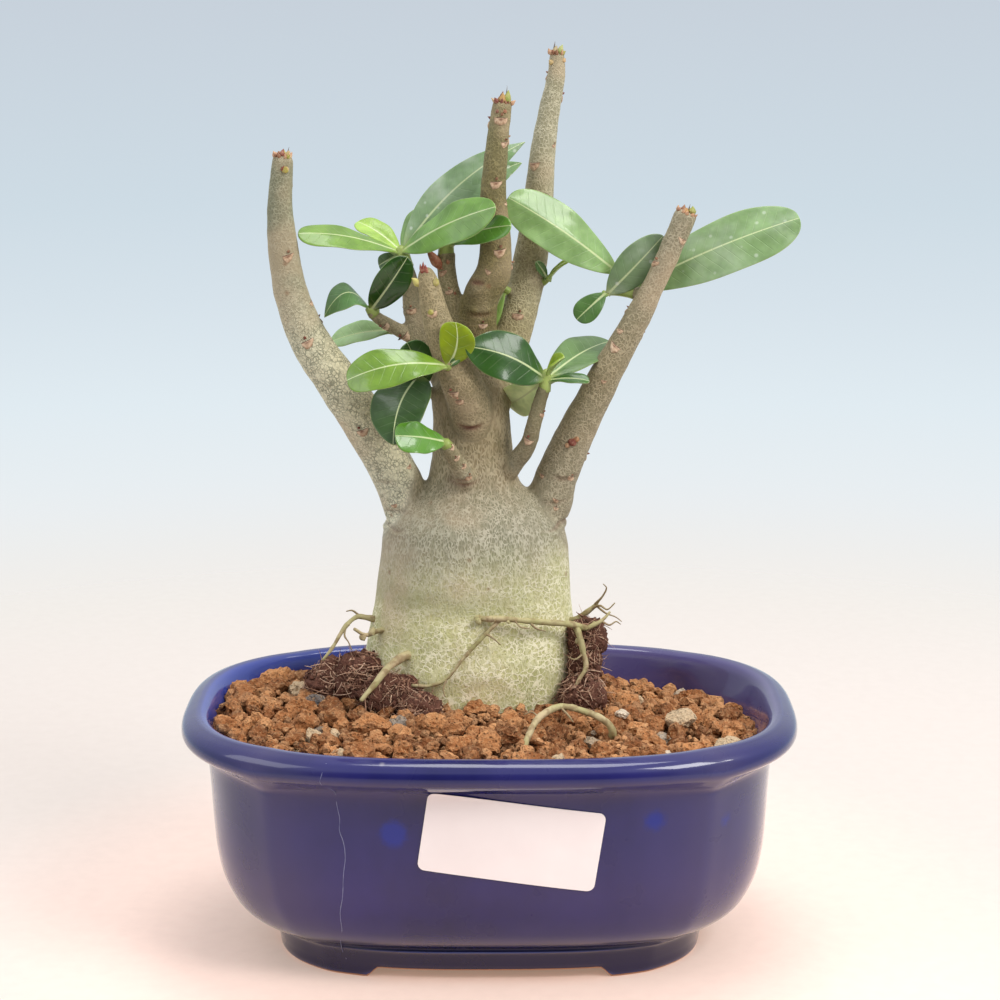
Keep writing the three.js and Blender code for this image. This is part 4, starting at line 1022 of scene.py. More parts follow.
# %% [markdown]
# Between the grit and the trunk some of the old root ball shows: dark, matted, fibrous peat, as a
# mound at left and a clump that clings to the trunk at right. Its lumps are nearly black, and the
# fibres in it are pale brown. Each lump has a middle and three radii.

# %% Peat finish
PEAT = {
    "peat_left": [((-37, 9, 60), (8, 6.5, 6)), ((-30, 5, 62), (7.5, 6, 7)), ((-23, -3, 60.5), (8, 5, 5.5)),
                  ((-16.5, -8, 58.5), (5, 4, 4.5))],
    "peat_right": [((23.4, 6, 72.5), (4.6, 4.4, 5)), ((23, 4, 66.5), (4.2, 4, 5.4)),
                   ((22.4, 0.5, 59.5), (5.4, 4.6, 6))],
}
peat = Finish("dark_peat", Roughness=0.9, Specular_IOR_Level=0.25)
place = peat.place()
tone = peat.value("tone")
crumble = peat.noise(place, 900.0, 4.0, 0.65)
strands = peat.noise(peat.stretched(place, (1400, 420, 900)), 1.0, 3.0, 0.6, 1.5)
share = peat.plus(peat.times(tone, 0.6), peat.times(strands, 0.4))
peat.wear(
    Base_Color=peat.ramp(share, (0.12, (0.028, 0.011, 0.008)), (0.38, (0.15, 0.062, 0.04)),
                         (0.65, (0.5, 0.28, 0.18)), (0.92, (0.84, 0.6, 0.42))),
    Normal=peat.bump(crumble, 1.0, 1.0),
)
print("peat lumps:", sum(len(lumps) for lumps in PEAT.values()))

# %% [markdown]
# A lump is a ball pushed out of shape by noise. Several hundred short curly fibres lie on it in
# every direction, with crumbs between them.

# %% Peat
FIBRES_PER_MM, CRUMBS_PER_MM, FIBRE_STEPS = 66, 18, 5
for name, lumps in PEAT.items():
    pile = Pile()
    pick = random.Random(len(name))
    for number, (middle, radii) in enumerate(lumps):
        points, faces = BALL[4]
        shift = Vector((pick.uniform(-50, 50), 0, 0))
        shape = []
        for p in map(Vector, points):
            lumpy, crumbly = noise.noise(p * 1.8 + shift), noise.fractal(p * 5.5 + shift, 0.6, 2, 3)
            shape.append(tuple(p * (1 + 0.26 * lumpy + 0.24 * crumbly)))
        shape = np.array(shape) * radii + middle
        pile.add(shape, faces, tone=0.22)
        for _ in range(int(FIBRES_PER_MM * radii[0])):
            u = Vector((pick.gauss(0, 1), pick.gauss(0, 1) - 0.4, pick.gauss(0, 1) + 0.3)).normalized()
            spot = np.array(middle) + np.array(u) * radii * pick.uniform(0.92, 1.06)
            heading = Vector((pick.gauss(0, 1), pick.gauss(0, 1), pick.gauss(0, 0.6))).normalized()
            heading = (heading - u * heading.dot(u) * 0.85).normalized()
            curl = Vector((pick.gauss(0, 1), pick.gauss(0, 1), pick.gauss(0, 1))) * 0.5
            length, thick = pick.uniform(2.0, 6.5), pick.choice((0.07, 0.08, 0.1, 0.12, 0.2))
            line = []
            here = Vector(spot)
            for step in range(FIBRE_STEPS):
                line.append((*here, thick * (1 - 0.15 * step)))
                heading = (heading + curl * 0.45 - u * 0.16).normalized()
                here = here + heading * length / FIBRE_STEPS
            pile.add(*tube(line, 4, 2), tone=pick.uniform(0.3, 1.1))
        for crumb in range(int(CRUMBS_PER_MM * radii[0])):
            u = Vector((pick.gauss(0, 1), pick.gauss(0, 1) - 0.3, pick.gauss(0, 1) + 0.3)).normalized()
            spot = np.array(middle) + np.array(u) * radii * pick.uniform(0.95, 1.08)
            points, faces = rough_stone(1, pick.uniform(0.25, 0.75), crumb + 77 * number)
            pile.add(points + spot, faces, tone=pick.uniform(0.0, 0.6))
    piece = pile.build(name + "_fibres", peat.material, "dark_peat", [name])
    print(name, "faces:", len(piece.data.polygons))

# %% [markdown]
# The plant is one living body: a bottle-shaped trunk, a short neck, five cut-back branches, a
# thin one behind, and a few twigs. Each limb has its own line. A row of numbers is a place on the
# line and the limb's radius there.

# %% Limb lines
BRANCHES = {
    "left": [
        (-14, 14.5, 92, 6), (-19.4, 14, 102, 5.8), (-22.5, 13, 111, 5.7), (-29.5, 12, 124, 5.5),
        (-35.9, 11.5, 134, 5.3), (-42.4, 11, 144, 4.8), (-46.7, 10.5, 155, 4.2), (-48.6, 10, 166, 3.6),
        (-49.2, 10, 178, 2.9), (-48.3, 10, 188.6, 2.4),
    ],
    "right": [
        (9, 15, 93, 6), (14, 15, 104, 5.8), (16.8, 14.5, 112.5, 5.1), (21.5, 13.5, 123.5, 4.5),
        (27.7, 12.5, 136, 3.9), (33.8, 12, 147.5, 3.4), (40.2, 11.5, 160.5, 2.7), (46.5, 11, 175.3, 2.7),
    ],
    "tall": [
        (-1, 17, 124, 5), (1.6, 18.5, 133.5, 4.9), (5.8, 21, 146, 4.6), (8.3, 23, 155, 4.5),
        (10.2, 24, 164.5, 4.1), (11.9, 25, 178, 3.6), (13.1, 25.5, 191, 2.9), (15.8, 26, 206, 2.3),
        (16.1, 26, 211.8, 1.9),
    ],
    "middle": [
        (-3, 15.5, 126, 5), (-2.5, 15, 142, 4.8), (-2.8, 14, 148.5, 4.7), (-2.1, 13, 155, 4.4),
        (0.9, 12, 160.8, 4.1), (1.4, 11, 167, 3.8), (1.1, 10, 175, 3.4), (1.1, 9.5, 183, 3),
        (2, 9, 192.5, 2.7), (3.2, 9, 201.2, 2.3),
    ],
    "front": [
        (-4.2, 9.6, 123, 4.2), (-4.9, 7, 130.6, 5.2), (-7.6, 4.6, 138, 4.6), (-11.2, 3.6, 147.6, 3.7),
        (-13, 3.6, 153.5, 3.2), (-14, 3.8, 158.5, 2.8), (-14.8, 4.2, 161.6, 2.1), (-15.2, 4.4, 163, 1.3),
    ],
    "behind": [
        (-8, 16.5, 126, 3.2), (-10.8, 17, 133, 2.9), (-13.9, 17, 139, 2.7), (-16.8, 17, 145.3, 2.4),
        (-18.6, 17, 151, 2.2), (-19, 17, 157.4, 2), (-20.4, 17, 163, 1.9),
    ],
}
TWIGS = {
    "behind_side": [
        (-18, 17, 144, 1.7), (-22.7, 16, 147.1, 1.7), (-26.3, 15, 149.4, 1.6), (-28.6, 13.8, 151.8, 1.5),
    ],
    "stub": [
        (-4, 14.5, 146, 3), (-7.6, 15.3, 150, 2.5), (-9.2, 16, 155.3, 2.4), (-10.3, 16, 161, 2.3),
        (-10.4, 16, 165.4, 2.2),
    ],
    "right_low": [
        (1.5, 12, 109, 2.6), (5.6, 8.6, 115, 2.4), (9.2, 6, 120.5, 2.2), (10.6, 5, 125.5, 2),
        (11.8, 5, 130.4, 1.8), (13.2, 5, 135, 1.6),
    ],
    "front_low": [
        (-3.6, 10, 106, 2.8), (-5.6, 4.5, 112.3, 2.5), (-7.9, 1, 117.4, 2.2), (-10.2, -2, 122, 1.9),
    ],
    "left_low": [(-10, 14.5, 130.6, 1.6), (-14.1, 13, 132, 1.3), (-15.8, 12, 133.8, 1.2)],
    "right_back": [(38, 12, 156, 1.9), (35.4, 16, 155.4, 1.7), (33.8, 18.4, 155.8, 1.6)],
    "knob": [(-0.6, 12.6, 155.5, 3), (-3.6, 10.4, 158.2, 2.9)],
    "spur_behind": [(-19, 17.2, 147.4, 1.2), (-22.6, 18.6, 146.2, 0.9)],
    "spur_front": [(-8.2, 5.4, 138.6, 1.2), (-9.2, 1.4, 139.8, 1)],
    "spur_tall": [(6, 21, 154.6, 1.2), (4, 19.2, 156, 0.9)],
    "spur_tall_bud": [(10, 23.4, 157.2, 1.5), (13.4, 21.4, 157.8, 1.3)],
}
print("branches:", len(BRANCHES), "twigs:", len(TWIGS))

# %% [markdown]
# The trunk is a stack of oval rings, not quite even: a height, a middle across, and two half
# widths. Rings lie close together at the shoulder, where old bark ends in a step. A branch is a
# tube that swells and thins a little on its way. All of them first stand in one pile, not joined.

# %% Trunk and limbs
TRUNK_MIDDLE_Y = 15.0
TRUNK_RINGS = [
    (38, -4.5, 12, 11), (49, -4.8, 22.6, 19.4), (57, -5, 25.6, 21.6), (66, -4.9, 26.3, 22),
    (80, -4.3, 24, 20.6), (92, -4.1, 22.8, 19.4), (97, -4.1, 22.3, 18.6), (100.1, -4.1, 21.2, 17.4),
    (103, -4, 18.8, 15.8), (106, -3.9, 14.6, 13.4), (109.5, -4, 11.2, 11.2), (116, -4.3, 9.8, 9.7),
    (124, -4.5, 9.2, 9.2), (132, -5.2, 8.9, 8.8), (137, -4.6, 6.4, 6.6),
]
TRUNK_LEVELS = [38, *np.arange(49, 97, 1.5), 98, 98.8, 99.3, 99.8, 100.3, 101, *np.arange(102, 137.5, 1.2)]


def trunk_shape(sides=120):
    table = np.array(TRUNK_RINGS)
    points = []
    for z in TRUNK_LEVELS:
        across, wide, deep = (np.interp(z, table[:, 0], table[:, k]) for k in (1, 2, 3))
        for i in range(sides):
            turn = 2 * math.pi * i / sides
            swell = (1 + 0.022 * math.cos(3 * turn + 0.6) + 0.014 * math.cos(5 * turn + 2.1)
                     + 0.01 * math.cos(2 * turn + 1.2))
            lean = 0.012 * noise.noise(Vector((math.cos(turn) * 1.3, math.sin(turn) * 1.3, z / 14)))
            swell += lean * min(1.0, (z - 38) / 20)
            x, y = across + wide * swell * math.cos(turn), TRUNK_MIDDLE_Y + deep * swell * math.sin(turn)
            points.append((x, y, z))
    rows = len(TRUNK_LEVELS)
    faces = rings(rows, sides)
    faces.append(list(range(sides))[::-1])
    faces.append(list(range((rows - 1) * sides, rows * sides)))
    return points, faces


def swollen(line, seed):
    """The line drawn fine, with small uneven swellings that a limb grows with the years."""
    fine = smooth_line(line, 6)
    swell = [1 + 0.045 * noise.noise(Vector(p[:3]) * 0.13 + Vector((seed, 0, 0))) for p in fine]
    fine[:, 3] *= swell
    return fine


growth = Pile()
growth.add(*trunk_shape())
for seed, line in enumerate(BRANCHES.values()):
    growth.add(*tube(swollen(line, seed), 28, 1, cap=0.25))
for seed, line in enumerate(TWIGS.values()):
    growth.add(*tube(swollen(line, 20 + seed), 16, 1, cap=0.35))
print("limbs:", len(BRANCHES) + len(TWIGS) + 1)

# %% [markdown]
# Limbs could be joined by boolean cuts, but those leave sharp seams. A fine voxel skin is laid over
# all of them instead and smoothed, so that they grow out of each other with soft hollows.

# %% Join the limbs
VOXEL = 0.56
bark = Finish("grey_bark", Roughness=0.72)
plant = growth.build("trunk_and_branches", bark.material, "grey_bark", ["plant"])
skin = plant.modifiers.new("skin", "REMESH")
skin.mode, skin.voxel_size, skin.use_smooth_shade = "VOXEL", VOXEL * MM, True
soften = plant.modifiers.new("soften", "SMOOTH")
soften.factor, soften.iterations = 0.5, 7
settle_modifiers(plant)
print("skin points:", len(plant.data.vertices), "faces:", len(plant.data.polygons))

# %% [markdown]
# Bark needs to know which way it grows, so every limb keeps a fine row of spots along its line.
# Lengths are squeezed there, so that the net of cracks comes out long and narrow on the trunk and
# rounder on the branches. Each spot also knows its limb, the limb's radius and its kind.

# %% Ways along the limbs
SQUEEZE = {"trunk": 0.36, "branch": 0.9, "twig": 0.9}
TRUNK_LINE = [
    (-4.5, 15, 30, 25), (-4.8, 15, 60, 24), (-4.2, 15, 85, 21), (-4.1, 15, 104, 17), (-4.3, 15, 118, 9.8),
    (-5, 15, 132, 8.9),
]
axis_points, axis_net, axis_along, axis_radius, axis_kind, axis_limb = [], [], [], [], [], []


def add_axis(line, kind):
    fine = smooth_line(line, 10)
    along, _, _ = frames_along(fine[:, :3])
    net = np.zeros((len(fine), 3)) + fine[0, :3]
    for i in range(1, len(fine)):
        net[i] = net[i - 1] + (fine[i, :3] - fine[i - 1, :3]) * SQUEEZE[kind]
    axis_points.append(fine[:, :3])
    axis_net.append(net)
    axis_along.append(along)
    axis_radius.append(fine[:, 3])
    axis_kind.append(np.full(len(fine), {"trunk": 0.0, "branch": 1.0, "twig": 2.0}[kind]))
    axis_limb.append(np.full(len(fine), len(axis_limb)))


add_axis(TRUNK_LINE, "trunk")
for line in BRANCHES.values():
    add_axis(line, "branch")
for line in TWIGS.values():
    add_axis(line, "twig")
axis_points, axis_net, axis_along = map(np.concatenate, (axis_points, axis_net, axis_along))
axis_radius, axis_kind, axis_limb = map(np.concatenate, (axis_radius, axis_kind, axis_limb))


def gaps_to_axis(points, at_once=4000):
    """How far each point lies outside every spot of the limb lines, for some points at a time."""
    for start in range(0, len(points), at_once):
        some = slice(start, start + at_once)
        away = np.linalg.norm(points[some, None, :] - axis_points[None, :, :], axis=2)
        yield some, away - axis_radius[None, :]


def nearest_axis(points):
    nearest = np.empty(len(points), dtype=int)
    for some, gap in gaps_to_axis(points):
        nearest[some] = gap.argmin(axis=1)
    return nearest


print("spots on the limb lines:", len(axis_points))

# %% [markdown]
# Every limb has its own tint, partly its bark's own colour and partly painted shade: the left and
# middle branches are darker, the trunk lightest. A tint is a share of red, green and blue. Where
# limbs meet, tints run into each other.

# %% Tints and painted shade of the limbs
LIMB_SHADE = {
    "trunk": (1, 1, 1), "left": (0.62, 0.66, 0.58), "right": (0.83, 0.78, 0.71), "tall": (1.03, 1.03, 0.95),
    "middle": (0.52, 0.49, 0.29), "front": (0.84, 0.79, 0.71), "behind": (0.62, 0.6, 0.56),
    "behind_side": (0.75, 0.73, 0.68), "stub": (0.78, 0.74, 0.62), "right_low": (0.62, 0.6, 0.55),
    "front_low": (0.9, 0.86, 0.8), "left_low": (0.6, 0.58, 0.52), "right_back": (0.7, 0.68, 0.62),
    "knob": (0.6, 0.56, 0.46),
}
limb_starts = np.flatnonzero(np.concatenate([[True], np.diff(axis_limb) != 0]))
OTHER_SHADE, MEETING = (0.7, 0.68, 0.62), 0.7
limb_shade = np.array([LIMB_SHADE.get(name, OTHER_SHADE) for name in ("trunk", *BRANCHES, *TWIGS)])


def shade_at(points):
    """How light and how warm the bark is, partly painted shade, blended softly where limbs meet."""
    shade = np.empty((len(points), 3))
    for some, gap in gaps_to_axis(points):
        closest = np.minimum.reduceat(gap, limb_starts, axis=1)
        weight = np.exp(-(closest - closest.min(axis=1, keepdims=True)) / MEETING)
        shade[some] = weight @ limb_shade / weight.sum(1, keepdims=True)
    return shade


print("limbs with a shade of their own:", len(LIMB_SHADE))

# %% [markdown]
# For every point of the skin the nearest spot on a limb line is found. It says how thick the limb
# is there, and so how old its bark is. Such numbers jump from limb to limb, so they are blended
# with their neighbours' until the steps turn into slopes.

# %% Measure the bark
skin_points = mesh_points(plant)
near = nearest_axis(skin_points)
offset = skin_points - axis_points[near]
along = axis_along[near]
squeeze = np.array(list(SQUEEZE.values()))[axis_kind[near].astype(int)]
lengthwise = (offset * along).sum(1)
net = axis_net[near] + offset - along * (lengthwise * (1 - squeeze))[:, None]
edges = np.empty(len(plant.data.edges) * 2, dtype=np.int32)
plant.data.edges.foreach_get("vertices", edges)
ends = edges.reshape(-1, 2).T
neighbours = np.maximum(np.bincount(edges, minlength=len(skin_points)), 1)


def blended(values, times):
    """Every value is mixed with its neighbours' again and again."""
    values = values.astype(float)
    for _ in range(times):
        beside = np.bincount(ends[0], values[ends[1]], len(values))
        beside += np.bincount(ends[1], values[ends[0]], len(values))
        values = 0.5 * values + 0.5 * beside / neighbours
    return values


print("skin edges:", len(plant.data.edges))

# %% [markdown]
# Creases and folds are pressed into the skin itself: the ring above the shoulder where a layer of
# old bark ends, the folds under the crown where branches crowd each other, the crescent under the
# low front twig, and a dark red one on the neck. Each is a short groove, deepest in its middle,
# with a lip above it. They also leave a dark mark, partly a red stain and partly painted shade in the
# groove, which the finish reads. A row is the middle of the crease, half its width, its bend, its
# depth, and how red its mark is.

# %% Creases
CREASES = [
    ((-4.6, 4, 125.9), 3.4, -0.5, 0.8, 1),
    ((-6.3, 0.6, 112.4), 4.4, -0.4, 0.6, 0.6),
    ((-6.8, 0.6, 113.6), 3.2, -0.5, 0.35, 0.45),
    ((-2, 8.4, 151.6), 3.8, -0.2, 0.7, 0.45),
    ((-3, 9.2, 158.6), 2.4, 0.3, 0.4, 0.8),
    ((-10.4, 3.2, 147.6), 1.4, -0.2, 0.3, 0.5),
    ((18.4, 9.4, 112.4), 3.6, -0.55, 0.5, 0.35),
    ((15.8, 9.6, 106), 3.8, -0.3, 0.4, 0.2),
    ((-23, 9, 103.2), 4, 0.2, 0.35, 0.3),
    ((-25, 8, 110), 3.4, 0.35, 0.3, 0.2),
]
crease_stain_and_shade = np.zeros(len(skin_points))
normals = mesh_normals(plant)
moved = skin_points.copy()
for (cx, cy, cz), half, bend, depth, red in CREASES:
    dx = (skin_points[:, 0] - cx) / half
    line_z = cz + bend * half * 0.6 * (1 - dx ** 2)
    dz = skin_points[:, 2] - line_z
    facing = np.clip(-normals[:, 1] * 1.6, 0, 1) * (np.abs(skin_points[:, 1] - cy) < 9)
    reach = np.clip(1 - dx ** 2, 0, 1) * facing
    groove = np.exp(-(dz / 0.42) ** 2) * reach
    lip = np.exp(-((dz - 1.0) / 0.6) ** 2) * reach
    moved += normals * (-depth * groove + 0.3 * depth * lip)[:, None]
    # Partly red stain, partly painted shade: the groove's middle is darkened.
    crease_stain_and_shade = np.maximum(crease_stain_and_shade, red * np.exp(-(dz / 0.6) ** 2) * reach)
SKIRT_LEVEL = 99.9
skirt = SKIRT_LEVEL + 0.5 * np.sin(skin_points[:, 0] * 0.35) + 0.3 * np.sin(skin_points[:, 1] * 0.8)
above = skin_points[:, 2] - skirt
to_side = settle((np.abs(normals[:, 0]) - 0.45) / 0.4) + 0.04
step = 0.45 * np.exp(-((above + 0.6) / 0.6) ** 2) - 0.6 * np.exp(-((above - 0.45) / 0.4) ** 2)
moved += normals * (step * to_side)[:, None]
off_middle = settle((np.abs(skin_points[:, 0] + 4) - 14) / 4)
# Painted shade: a dark line in the groove of the step above the shoulder.
crease_stain_and_shade = np.maximum(crease_stain_and_shade, 0.4 * np.exp(-((above - 0.35) / 0.4) ** 2) * to_side * off_middle)
wobble = noise_at(skin_points, 7.5, 3, 2) * 0.22 + noise_at(skin_points, 2.6, 8, 2) * 0.07
moved += normals * wobble[:, None]
plant.data.vertices.foreach_set("co", (moved * MM).ravel())
plant.data.update()
put_values(plant, "net", net)
put_values(plant, "kind", blended(axis_kind[near], 60))
put_values(plant, "thick", blended(axis_radius[near], 24))
put_values(plant, "crease_stain_and_shade", crease_stain_and_shade)
put_values(plant, "shade", shade_at(skin_points))
plant.data.shade_smooth()
bark_tree = BVHTree.FromPolygons([tuple(p) for p in moved], [tuple(p.vertices) for p in plant.data.polygons])
print("creases:", len(CREASES), "deepest", round(float(np.abs(moved - skin_points).max()), 2), "mm")

# %% [markdown]
# The bark is grey-beige above and yellow-green low down, where it was under the soil not long ago.
# Everywhere it has a fine net. It is drawn from the edges between uneven cells. The net reads
# places that soft noise has pushed about, so that its lines come out wavy.

# %% Nets in the bark
place = bark.place()
sideways, height = bark.part(place, "X"), bark.part(place, "Z")
kind = bark.value("kind")
on_trunk, on_branch = bark.fade(kind, 0.1, 0.9), bark.span(kind, 0.1, 0.9)


def pushed(place, scale, far):
    """The place, pushed about by soft noise."""
    push = bark.node("ShaderNodeTexNoise", {"Vector": place, "Scale": scale, "Detail": 2.0})
    push = bark.vectors("ADD", push.outputs["Color"], (-0.5, -0.5, -0.5))
    return bark.vectors("ADD", place, bark.scaled(push, far)).outputs[0]


def net_of(place, scale, width):
    """Thin lines between uneven cells, stronger in some parts and broken in others."""
    from_edge = bark.cells(place, scale, "DISTANCE_TO_EDGE").outputs["Distance"]
    line = bark.fade(from_edge, 0.35 * width * scale, width * scale)
    return bark.times(line, bark.span(bark.noise(place, 0.42 * scale, 2.0), 0.3, 0.58, 0.25, 1.0))


waved = pushed(bark.vector("net"), 0.75, 1.5)
swayed = pushed(bark.scaled(place, 1000.0), 0.9, 1.6)
flatter = bark.vectors("MULTIPLY", swayed, (1.0, 1.0, 1.3)).outputs[0]
wrinkles, crack_line = net_of(waved, 1.6, 0.14), net_of(waved, 1.15, 0.12)
low_net, branch_net = net_of(flatter, 0.6, 0.21), net_of(waved, 1.25, 0.15)
lines = bark.larger(bark.times(wrinkles, on_trunk), bark.times(branch_net, on_branch))
low_lines = bark.larger(low_net, bark.times(wrinkles, 0.35))
print("nets drawn, nodes:", len(bark.tree.nodes))

# %% [markdown]
# Higher up a pale net lies on darker ground, but the left branch has dark cracks between pale
# plates; on its lower part the plates are also painted lighter, as painted light. Low down the net is
# cream and flaky, drawn over green skin, with a darker band at the old soil line. The two meet in a
# soft slope, lower at left than at right.

# %% Bark colours
broad = bark.noise(place, 70.0, 3.0)
broad_two = bark.noise(place, 34.0, 2.0)
slope = bark.less(bark.times(broad_two, 0.022), bark.times(sideways, 0.12))
low = bark.fade(bark.plus(height, slope), 0.087, 0.113)
low_trunk = bark.times(low, on_trunk)
mottle = bark.noise(swayed, 1.1, 2.0, 0.5)
ground = bark.ramp(broad, (0.3, (0.17, 0.163, 0.095)), (0.5, (0.215, 0.195, 0.118)),
                   (0.7, (0.275, 0.225, 0.142)))
crest = bark.ramp(broad_two, (0.35, (0.395, 0.375, 0.275)), (0.65, (0.495, 0.445, 0.335)))
crest = bark.mix(on_branch, crest, rgb(0.5, 0.455, 0.34))
ground = bark.mix(bark.span(kind, 0.1, 0.9, 0.0, 0.8), ground, rgb(0.3, 0.275, 0.185))
upper = bark.mix(bark.times(lines, bark.span(kind, 0.1, 0.9, 0.8, 0.88)), ground, crest)
upper = bark.mix(bark.span(mottle, 0.3, 0.45, 0.2, 0.0), upper, rgb(0.13, 0.13, 0.075))
left_limb = bark.times(bark.fade(sideways, -0.02, -0.015), bark.fade(height, 0.135, 0.172))
left_limb = bark.times(left_limb, on_branch)
# Painted light: the lower left branch's plates are lighter than its bark, so that it looks lit.
plates_painted_lighter = bark.mix(bark.span(mottle, 0.35, 0.65), rgb(0.96, 0.85, 0.68), rgb(1.16, 1.03, 0.84))
plates_painted_lighter = bark.mix(bark.times(crack_line, 0.62), plates_painted_lighter, rgb(0.15, 0.165, 0.12))
upper = bark.mix(left_limb, upper, plates_painted_lighter)
green = bark.ramp(broad, (0.3, (0.43, 0.425, 0.175)), (0.5, (0.52, 0.495, 0.215)), (0.7, (0.62, 0.57, 0.28)))
cream = bark.ramp(broad_two, (0.35, (0.78, 0.73, 0.48)), (0.65, (0.92, 0.86, 0.62)))
flaky = bark.mix(bark.span(mottle, 0.3, 0.45, 0.3, 0.0), green, rgb(0.33, 0.33, 0.12))
flaky = bark.mix(low_lines, flaky, cream)
band_off = bark.math("ABSOLUTE", bark.less(bark.plus(height, bark.times(broad_two, 0.012)), 0.0895))
band = bark.times(bark.span(band_off, 0.001, 0.006, 0.5, 0.0), bark.span(sideways, -0.002, 0.016, 1.0, 0.15))
flaky = bark.mix(band, flaky, rgb(0.25, 0.26, 0.1))
skin_color = bark.mix(low_trunk, upper, flaky)
print("bark colours mixed")

# %% [markdown]
# Broad tints go over the net: browner under the crown and on the neck, painted shade on the trunk's
# left side, and each limb's tint, which is partly painted shade. Thin young twigs are greener and
# browner. Patches of tan, freckles and the dark marks of creases, partly stain and partly painted
# shade, come last. The bump follows the net.

# %% Bark
CROWN_MIDDLE = (-0.003, 0.012, 0.15)
from_crown = bark.vectors("DISTANCE", place, CROWN_MIDDLE).outputs["Value"]
uneven = bark.span(bark.noise(place, 40.0, 2.0), 0.3, 0.7, 0.6, 1.0)
crown = bark.times(bark.fade(from_crown, 0.024, 0.048), uneven)
skin_color = bark.mix(crown, skin_color, rgb(0.88, 0.8, 0.62), "MULTIPLY")
neck = bark.times(on_trunk, bark.span(height, 0.098, 0.113))
skin_color = bark.mix(neck, skin_color, rgb(0.96, 0.89, 0.81), "MULTIPLY")
# Painted shade on the trunk's left side.
left_side = bark.times(bark.fade(sideways, -0.024, -0.015), bark.span(height, 0.074, 0.084))
left_side = bark.times(left_side, bark.times(on_trunk, 0.35))
skin_color = bark.mix(left_side, skin_color, rgb(0.45, 0.35, 0.235))
# Each limb's tint, partly painted shade, multiplies the colour.
skin_color = bark.mix(1.0, skin_color, bark.vector("shade"), "MULTIPLY")
young = bark.span(bark.value("thick"), 1.6, 2.7, 0.65, 0.0)
young_color = bark.ramp(broad, (0.35, (0.11, 0.11, 0.042)), (0.65, (0.22, 0.18, 0.09)))
skin_color = bark.mix(young, skin_color, young_color)
tan = bark.span(bark.noise(place, 55.0, 2.0), 0.5, 0.72, 0.0, 0.45)
skin_color = bark.mix(tan, skin_color, rgb(0.5, 0.37, 0.235))
freckle = bark.cells(place, 210.0)
rare = bark.math("GREATER_THAN", bark.red(freckle.outputs["Color"]), 0.9)
freckled = bark.times(bark.fade(freckle.outputs["Distance"], 0.05, 0.2), rare)
skin_color = bark.mix(bark.times(freckled, 0.55), skin_color, rgb(0.22, 0.1, 0.04))
# Crease marks: partly red stain, partly painted shade.
skin_color = bark.mix(bark.value("crease_stain_and_shade"), skin_color, rgb(0.13, 0.035, 0.018))
raised = bark.less(bark.larger(lines, bark.times(low_lines, low_trunk)), bark.times(crack_line, left_limb))
bumped = bark.bump(raised, 0.6, 0.22)
bark.wear(
    Base_Color=skin_color,
    Roughness=bark.span(bark.noise(place, 1300.0, 2.0), 0.3, 0.7, 0.6, 0.8),
    Normal=bark.bump(bark.noise(place, 520.0, 3.0), 0.2, 0.25, bumped),
)
print("bark nodes:", len(bark.tree.nodes))

# %% [markdown]
# Small marks on the bark are set where they are seen. A ray goes from the camera through a place
# of the picture and finds the bark behind it.


# %% Look from the camera
def camera_ray(across, down):
    """The direction from the camera through a place of the picture, in thousandths of its side."""
    reach = camera_data.sensor_width / 2 / camera_data.lens
    u, v = (across / 500 - 1) * reach, (1 - down / 500) * reach
    cos, sin = math.cos(math.radians(CAMERA_PITCH)), math.sin(math.radians(CAMERA_PITCH))
    return Vector((u, cos + v * sin, v * cos - sin)).normalized()


def bark_seen_at(across, down):
    spot, normal, _, _ = bark_tree.ray_cast(Vector(CAMERA_PLACE), camera_ray(across, down))
    return spot, normal


def growth_direction(spot):
    return Vector(axis_along[nearest_axis(np.array([spot[:]]))[0]])


print("bark seen at 500, 600:", [round(v, 1) for v in bark_seen_at(500, 600)[0]])

# %% [markdown]
# Where a leaf has dropped, a scar stays: a tan half-moon about 3 mm wide with its ends turned up.
# Each scar is a thin pad laid on the bark by short rays, so that it bends round the branch.


# %% Scar pad
def lay_pad(pile, spot, normal, wide, tall, bend, height, seed, steps=7, sides=28):
    """A thin pad that follows the bark; its outline is an oval bent into a half-moon."""
    up = growth_direction(spot)
    normal = (normal - up * normal.dot(up) * 0.7).normalized()
    up = (up - normal * up.dot(normal)).normalized()
    side = up.cross(normal)
    shake = random.Random(seed)
    phase, lean = shake.uniform(0, 6.28), shake.uniform(-0.25, 0.25)
    points, share_v, share_r = [], [], []
    for ring in range(steps + 1):
        r = ring / steps
        for i in range(sides if ring else 1):
            turn = 2 * math.pi * i / sides
            ragged = 1 + 0.09 * math.sin(3 * turn + phase) + 0.06 * math.sin(7 * turn + 2 * phase)
            u, v = r * math.cos(turn) * ragged, r * math.sin(turn) * ragged
            a = u * wide / 2
            b = (v if v < 0 else 0.3 * v) * tall / 2 + bend * wide / 2 * (u * u - 0.35) + lean * a
            start = spot + side * a + up * b + normal * 2.5
            hit, _, _, _ = bark_tree.ray_cast(start, -normal, 5.0)
            base = hit if hit else spot + side * a + up * b
            lip = math.exp(-(((v + 0.55) / 0.35) ** 2)) * 0.6
            rise = height * ((1 - r * r) * (0.45 + lip) + (0.1 if r < 1 else -0.25))
            points.append(tuple(base + normal * rise))
            share_v.append(v)
            share_r.append(r)
    faces = [(0, 1 + i, 1 + (i + 1) % sides) for i in range(sides)]
    faces += rings(steps, sides, 1, flip=True)
    pile.add(points, faces, pad_v=np.array(share_v), pad_r=np.array(share_r), dark=shake.uniform(0, 1))
    return up, normal, side


print("scar pad ready")

# %% [markdown]
# Buds are made of scales. Each is a short tube that swells, bends a little and ends in a point.


